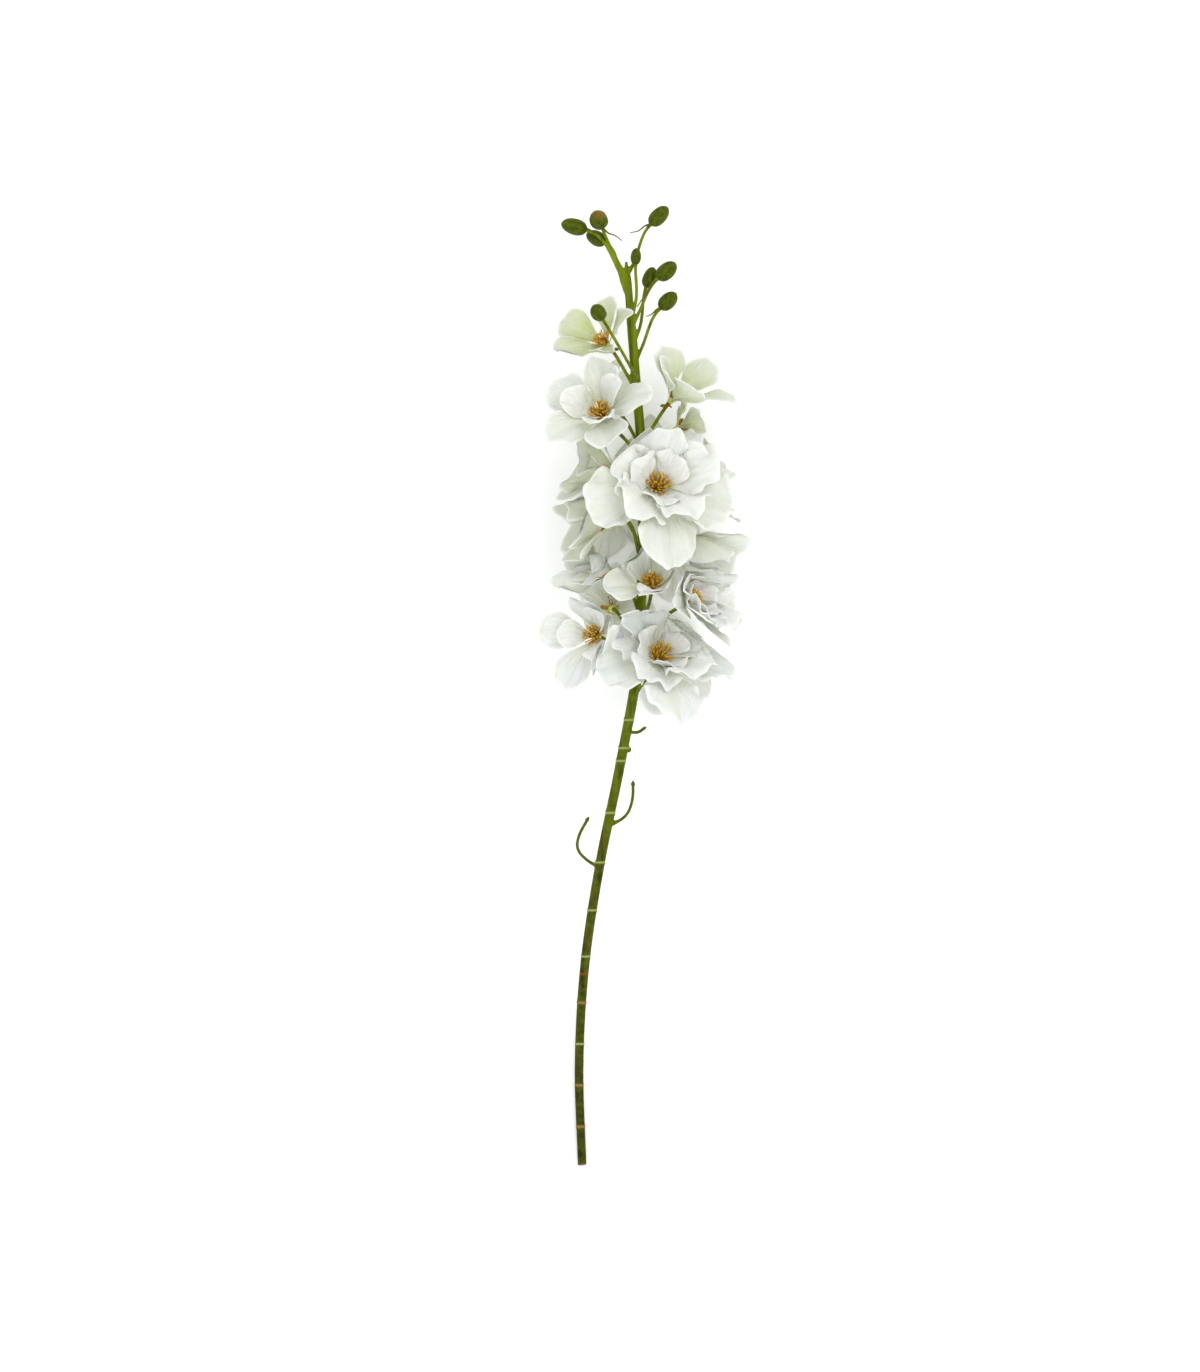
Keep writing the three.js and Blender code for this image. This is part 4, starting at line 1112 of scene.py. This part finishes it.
# %% Pegs and nub
PEG_RADIUS = 1.05
PEG_FOOT = SimpleNamespace(swell=0.5, width=0.12)
KNOB = SimpleNamespace(rise=0.4, end=0.25, depth=1.7)      # as shares of its radius
PEG_STEPS = 30
PEGS = [
    dict(knob=1.6, path=[[-18, -84, 25], [-11.4, -80.8, 26], [-6.9, -75.4, 27], [-4.7, -67, 28.5],
                         [-4.5, -58.5, 30]]),
    dict(knob=1.6, path=[[-23.5, -112, 21], [-32.6, -107, 22], [-38.8, -100, 23.5], [-38.3, -91.5, 25],
                         [-32.9, -81, 26.5]]),
    dict(knob=1.25, path=[[-7.5, -26.5, 32], [-1.5, -26.6, 33], [2.9, -23.8, 34]]),
]
NUB = SimpleNamespace(at=[-7.2, -37.4, 30.6], faces=(0.3, 0.1, 1), radius=1.25, thick=0.7)

for peg in PEGS:
    along_peg = np.linspace(0, 1, PEG_STEPS)
    points = smooth_curve(peg["path"], along_peg)
    swell = 1 + PEG_FOOT.swell * np.exp(-(along_peg / PEG_FOOT.width) ** 2)
    stem_pieces.append(tube(points, PEG_RADIUS * swell))
    way = unit(points[-1] - points[-3])
    knob = peg["knob"]
    stem_pieces.append(standing(
        bpy.ops.mesh.primitive_cone_add, points[-1] + way * KNOB.rise * knob, way, vertices=16,
        radius1=knob * MM, radius2=KNOB.end * knob * MM, depth=KNOB.depth * knob * MM))
stem_pieces.append(standing(bpy.ops.mesh.primitive_torus_add, NUB.at, NUB.faces,
                            major_radius=NUB.radius * MM, minor_radius=NUB.thick * MM))
print(len(PEGS), "pegs and a nub")

# %% [markdown]
# ## Buds
#
# A bud is an egg of folded petals: five seams run up it, a little turned, and it ends in a blunt point.
# Each starts as a ball whose rings are moved to the egg's outline. Some carry a thin dried thread at the
# base, the rest of a bract.

# %% Bud table
BUDS = [
    dict(at=[-41.3, 287.6, 50], points=[-1, 0.25, 0.05], long=16.5, wide=10.4, root_y=250),
    dict(at=[-26, 291.5, 57], points=[-0.25, 0.55, 0.8], long=13.5, wide=11.6, root_y=256, blush=1.0,
         thread=[[0, 0, 0], [4, -4.5, 1], [9, -6.5, 0], [13, -9.5, -2]]),
    dict(at=[-27.5, 281, 42], points=[-0.85, 0.45, -0.3], long=14, wide=9.6, root_y=244),
    dict(at=[11.6, 294.4, 48], points=[0.7, 0.7, 0.1], long=15.5, wide=10, root_y=258, blush=0.15,
         thread=[[0, 0, 0], [-4, -1.5, 1], [-8, -4.5, 1], [-13, -5.5, 0]]),
    dict(at=[-2.8, 269, 52], points=[0.05, 0.95, 0.3], long=10.5, wide=6.6, root_y=232),
    dict(at=[5.9, 256.5, 43], points=[0.35, 0.93, -0.1], long=13.6, wide=8.6, root_y=216),
    dict(at=[16.3, 260, 52], points=[0.75, 0.65, 0.1], long=15, wide=10.4, root_y=226,
         thread=[[0, 0, 0], [-3.5, -4, 1], [-8.5, -11, 0], [-13.5, -18, -1]]),
    dict(at=[17.2, 241.5, 50], points=[0.72, 0.68, 0.15], long=14, wide=10, root_y=204,
         thread=[[0, 0, 0], [-3, -1.5, 1], [-5.5, -4, 1], [-9, -5.5, 0]]),
    dict(at=[-26.3, 232.5, 88], points=[-0.35, 0.5, 0.8], long=13, wide=9.6, root_y=194, leaves=[0, 0, 1.6]),
]
PLAIN_BUD = dict(blush=0.0, thread=None, leaves=None)      # what a row may leave out
buds = [SimpleNamespace(**PLAIN_BUD | row) for row in BUDS]

for bud in buds:
    bud.way = unit(np.array(bud.points, float))
    bud.foot = np.array(bud.at) - bud.way * bud.long / 2
    stem_pieces.append(stalk(bud.root_y, bud.foot + bud.way, bud.way, BUD_STALK_RADIUS, bud.leaves))
print(len(buds), "stalks of buds")

# %% Melting the stem together
VOXEL = 0.53                # small enough to keep the thinnest stalk whole
SLANT = Vector((0.12, -1, 0.25))       # the way that the cut end faces
CUT_OFF = 0.9               # from the tube's end to the middle of the cut

stem = joined(stem_pieces, "stem_and_stalks")
apply_modifier(stem, "REMESH", mode="VOXEL", voxel_size=VOXEL * MM, adaptivity=0.0)
apply_modifier(stem, "SMOOTH", factor=0.5, iterations=4)

bpy.ops.object.select_all(action="DESELECT")
stem.select_set(True)
bpy.ops.object.mode_set(mode="EDIT")
bpy.ops.mesh.select_all(action="SELECT")
cut_at = Vector(stem_at(STEM_FOOT_Y + CUT_OFF)[0]) * MM
bpy.ops.mesh.bisect(plane_co=cut_at, plane_no=SLANT.normalized(), use_fill=True, clear_outer=True)
bpy.ops.object.mode_set(mode="OBJECT")
print(len(stem_pieces), "pieces melted into", len(stem.data.vertices), "corners")

# %% Joint lines and blushes
LOWEST = 0.02               # the stem keeps this far above the floor
ON_ROD = 4.2                # what is nearer than this to the middle line is rod
PALE_JOINT = SimpleNamespace(width=0.55, strength=0.8)
RED_JOINT = SimpleNamespace(width=0.8, strength=0.75)
RED_CUT = SimpleNamespace(width=2.2, strength=0.4)
RED_STALK = SimpleNamespace(below=1.5, width=4.0, strength=0.85)
RED_STALKS = 5              # the stalks of this many blooms, from the start of the table, blush at the top

points = corners_of(stem) / MM
points[:, 2] = np.maximum(points[:, 2], LOWEST)
shape(stem, points)
up = points[:, 1]
on_rod = np.linalg.norm(points - stem_at(up), axis=1) < ON_ROD
joint = np.clip(near_heights(up, JOINTS_Y, PALE_JOINT.width), 0, 1)
paint(stem, "joint", on_rod * joint * PALE_JOINT.strength)
redness = on_rod * near_heights(up, RED_JOINTS_Y, RED_JOINT.width) * RED_JOINT.strength
redness += on_rod * (up < STEM_FOOT_Y + RED_CUT.width) * RED_CUT.strength
for bloom in blooms[:RED_STALKS]:
    far = np.linalg.norm(points - (bloom.base - RED_STALK.below * bloom.facing), axis=1)
    redness += RED_STALK.strength * np.exp(-(far / RED_STALK.width) ** 2)
paint(stem, "blush", np.clip(redness, 0, 1))
total = finished(stem, stem_plastic, "stem_green", "stem", angle=60)
print("stem:", total, "triangles")

# %% A bud's outline
EGG_HEIGHT = [0, 0.04, 0.12, 0.26, 0.44, 0.62, 0.78, 0.9, 0.97, 1]
EGG_RADIUS = [0.14, 0.26, 0.38, 0.47, 0.5, 0.475, 0.4, 0.28, 0.15, 0]
EGG_TIP = 0.995             # the egg closes to a point above this share of its height
EGG_STEPS = 200
ROUNDED = 13                # steps over which the corners of the outline are evened out

egg_share = np.linspace(0, 1, EGG_STEPS)
cornered = np.pad(np.interp(egg_share, EGG_HEIGHT, EGG_RADIUS), ROUNDED // 2, "edge")
egg_radius = np.convolve(cornered, np.ones(ROUNDED) / ROUNDED, "valid")
print("a bud is widest at", round(float(egg_share[egg_radius.argmax()]), 2), "of its height")

# %% A bud's mesh
SEAM = SimpleNamespace(count=5, turn=0.5, width=0.07, depth=0.05)
BULGE = 0.02                # of each folded petal, beside its seam
BUD_RED = SimpleNamespace(strength=0.7, lean=0.3, low=0.5, high=1.15)
NO_BUD_POINTS = (0.3, 0.2, 0.93)       # a way that no bud points, to measure its turn from


def bud_mesh(bud):
    """One bud, from a ball."""
    piece = fresh(bpy.ops.mesh.primitive_uv_sphere_add, segments=60, ring_count=32, radius=1)
    ball = corners_of(piece)
    share = (ball[:, 2] + 1) / 2
    round_it = np.arctan2(ball[:, 1], ball[:, 0])
    radius = np.interp(share, egg_share, egg_radius) * np.where(share > EGG_TIP, 0, 1)
    turn = (round_it / (2 * math.pi) * SEAM.count + SEAM.turn * share) % 1
    seam = np.exp(-((turn - 0.5) / SEAM.width) ** 2) * np.sin(math.pi * share) ** 0.6
    bulge = 1 - SEAM.depth * seam + BULGE * np.sin(2 * math.pi * turn)
    side = unit(np.cross(bud.way, NO_BUD_POINTS))
    other = np.cross(bud.way, side)
    wide = radius * bud.wide * bulge
    shape(piece, bud.foot + np.outer(share * bud.long, bud.way) + np.outer(wide * np.cos(round_it), side)
          + np.outer(wide * np.sin(round_it), other))
    map_uv(piece, round_it / (2 * math.pi) + 0.5, share)
    paint(piece, "seam", seam)
    side_on = share + BUD_RED.lean * ball[:, 0]
    paint(piece, "blush", BUD_RED.strength * bud.blush * smoothstep(side_on, BUD_RED.low, BUD_RED.high))
    return piece


# %% Dried threads
DRIED = SimpleNamespace(foot=0.65, tip=0.3, into_bud=0.8, steps=24, red=0.1, redder=0.7)


def dried_thread(bud):
    """The thread beside a bud, which reddens towards its tip."""
    knots = np.array(bud.thread) + bud.foot + bud.way * DRIED.into_bud
    line = smooth_curve(knots, np.linspace(0, 1, DRIED.steps))
    piece = tube(line, np.linspace(DRIED.foot, DRIED.tip, DRIED.steps), sides=8)
    far = np.linalg.norm(corners_of(piece) / MM - line[0], axis=1) / np.linalg.norm(line[-1] - line[0])
    paint(piece, "seam", 0)
    paint(piece, "blush", DRIED.red + DRIED.redder * np.clip(far, 0, 1))
    return piece


# %% All the buds
total = 0
for i, bud in enumerate(buds):
    pieces = [bud_mesh(bud)]
    if bud.thread:
        pieces.append(dried_thread(bud))
    total += finished(joined(pieces, f"closed_bud_{i + 1}"), bud_plastic, "bud_green", f"bud_{i + 1}")
print(len(buds), "buds,", total, "triangles")
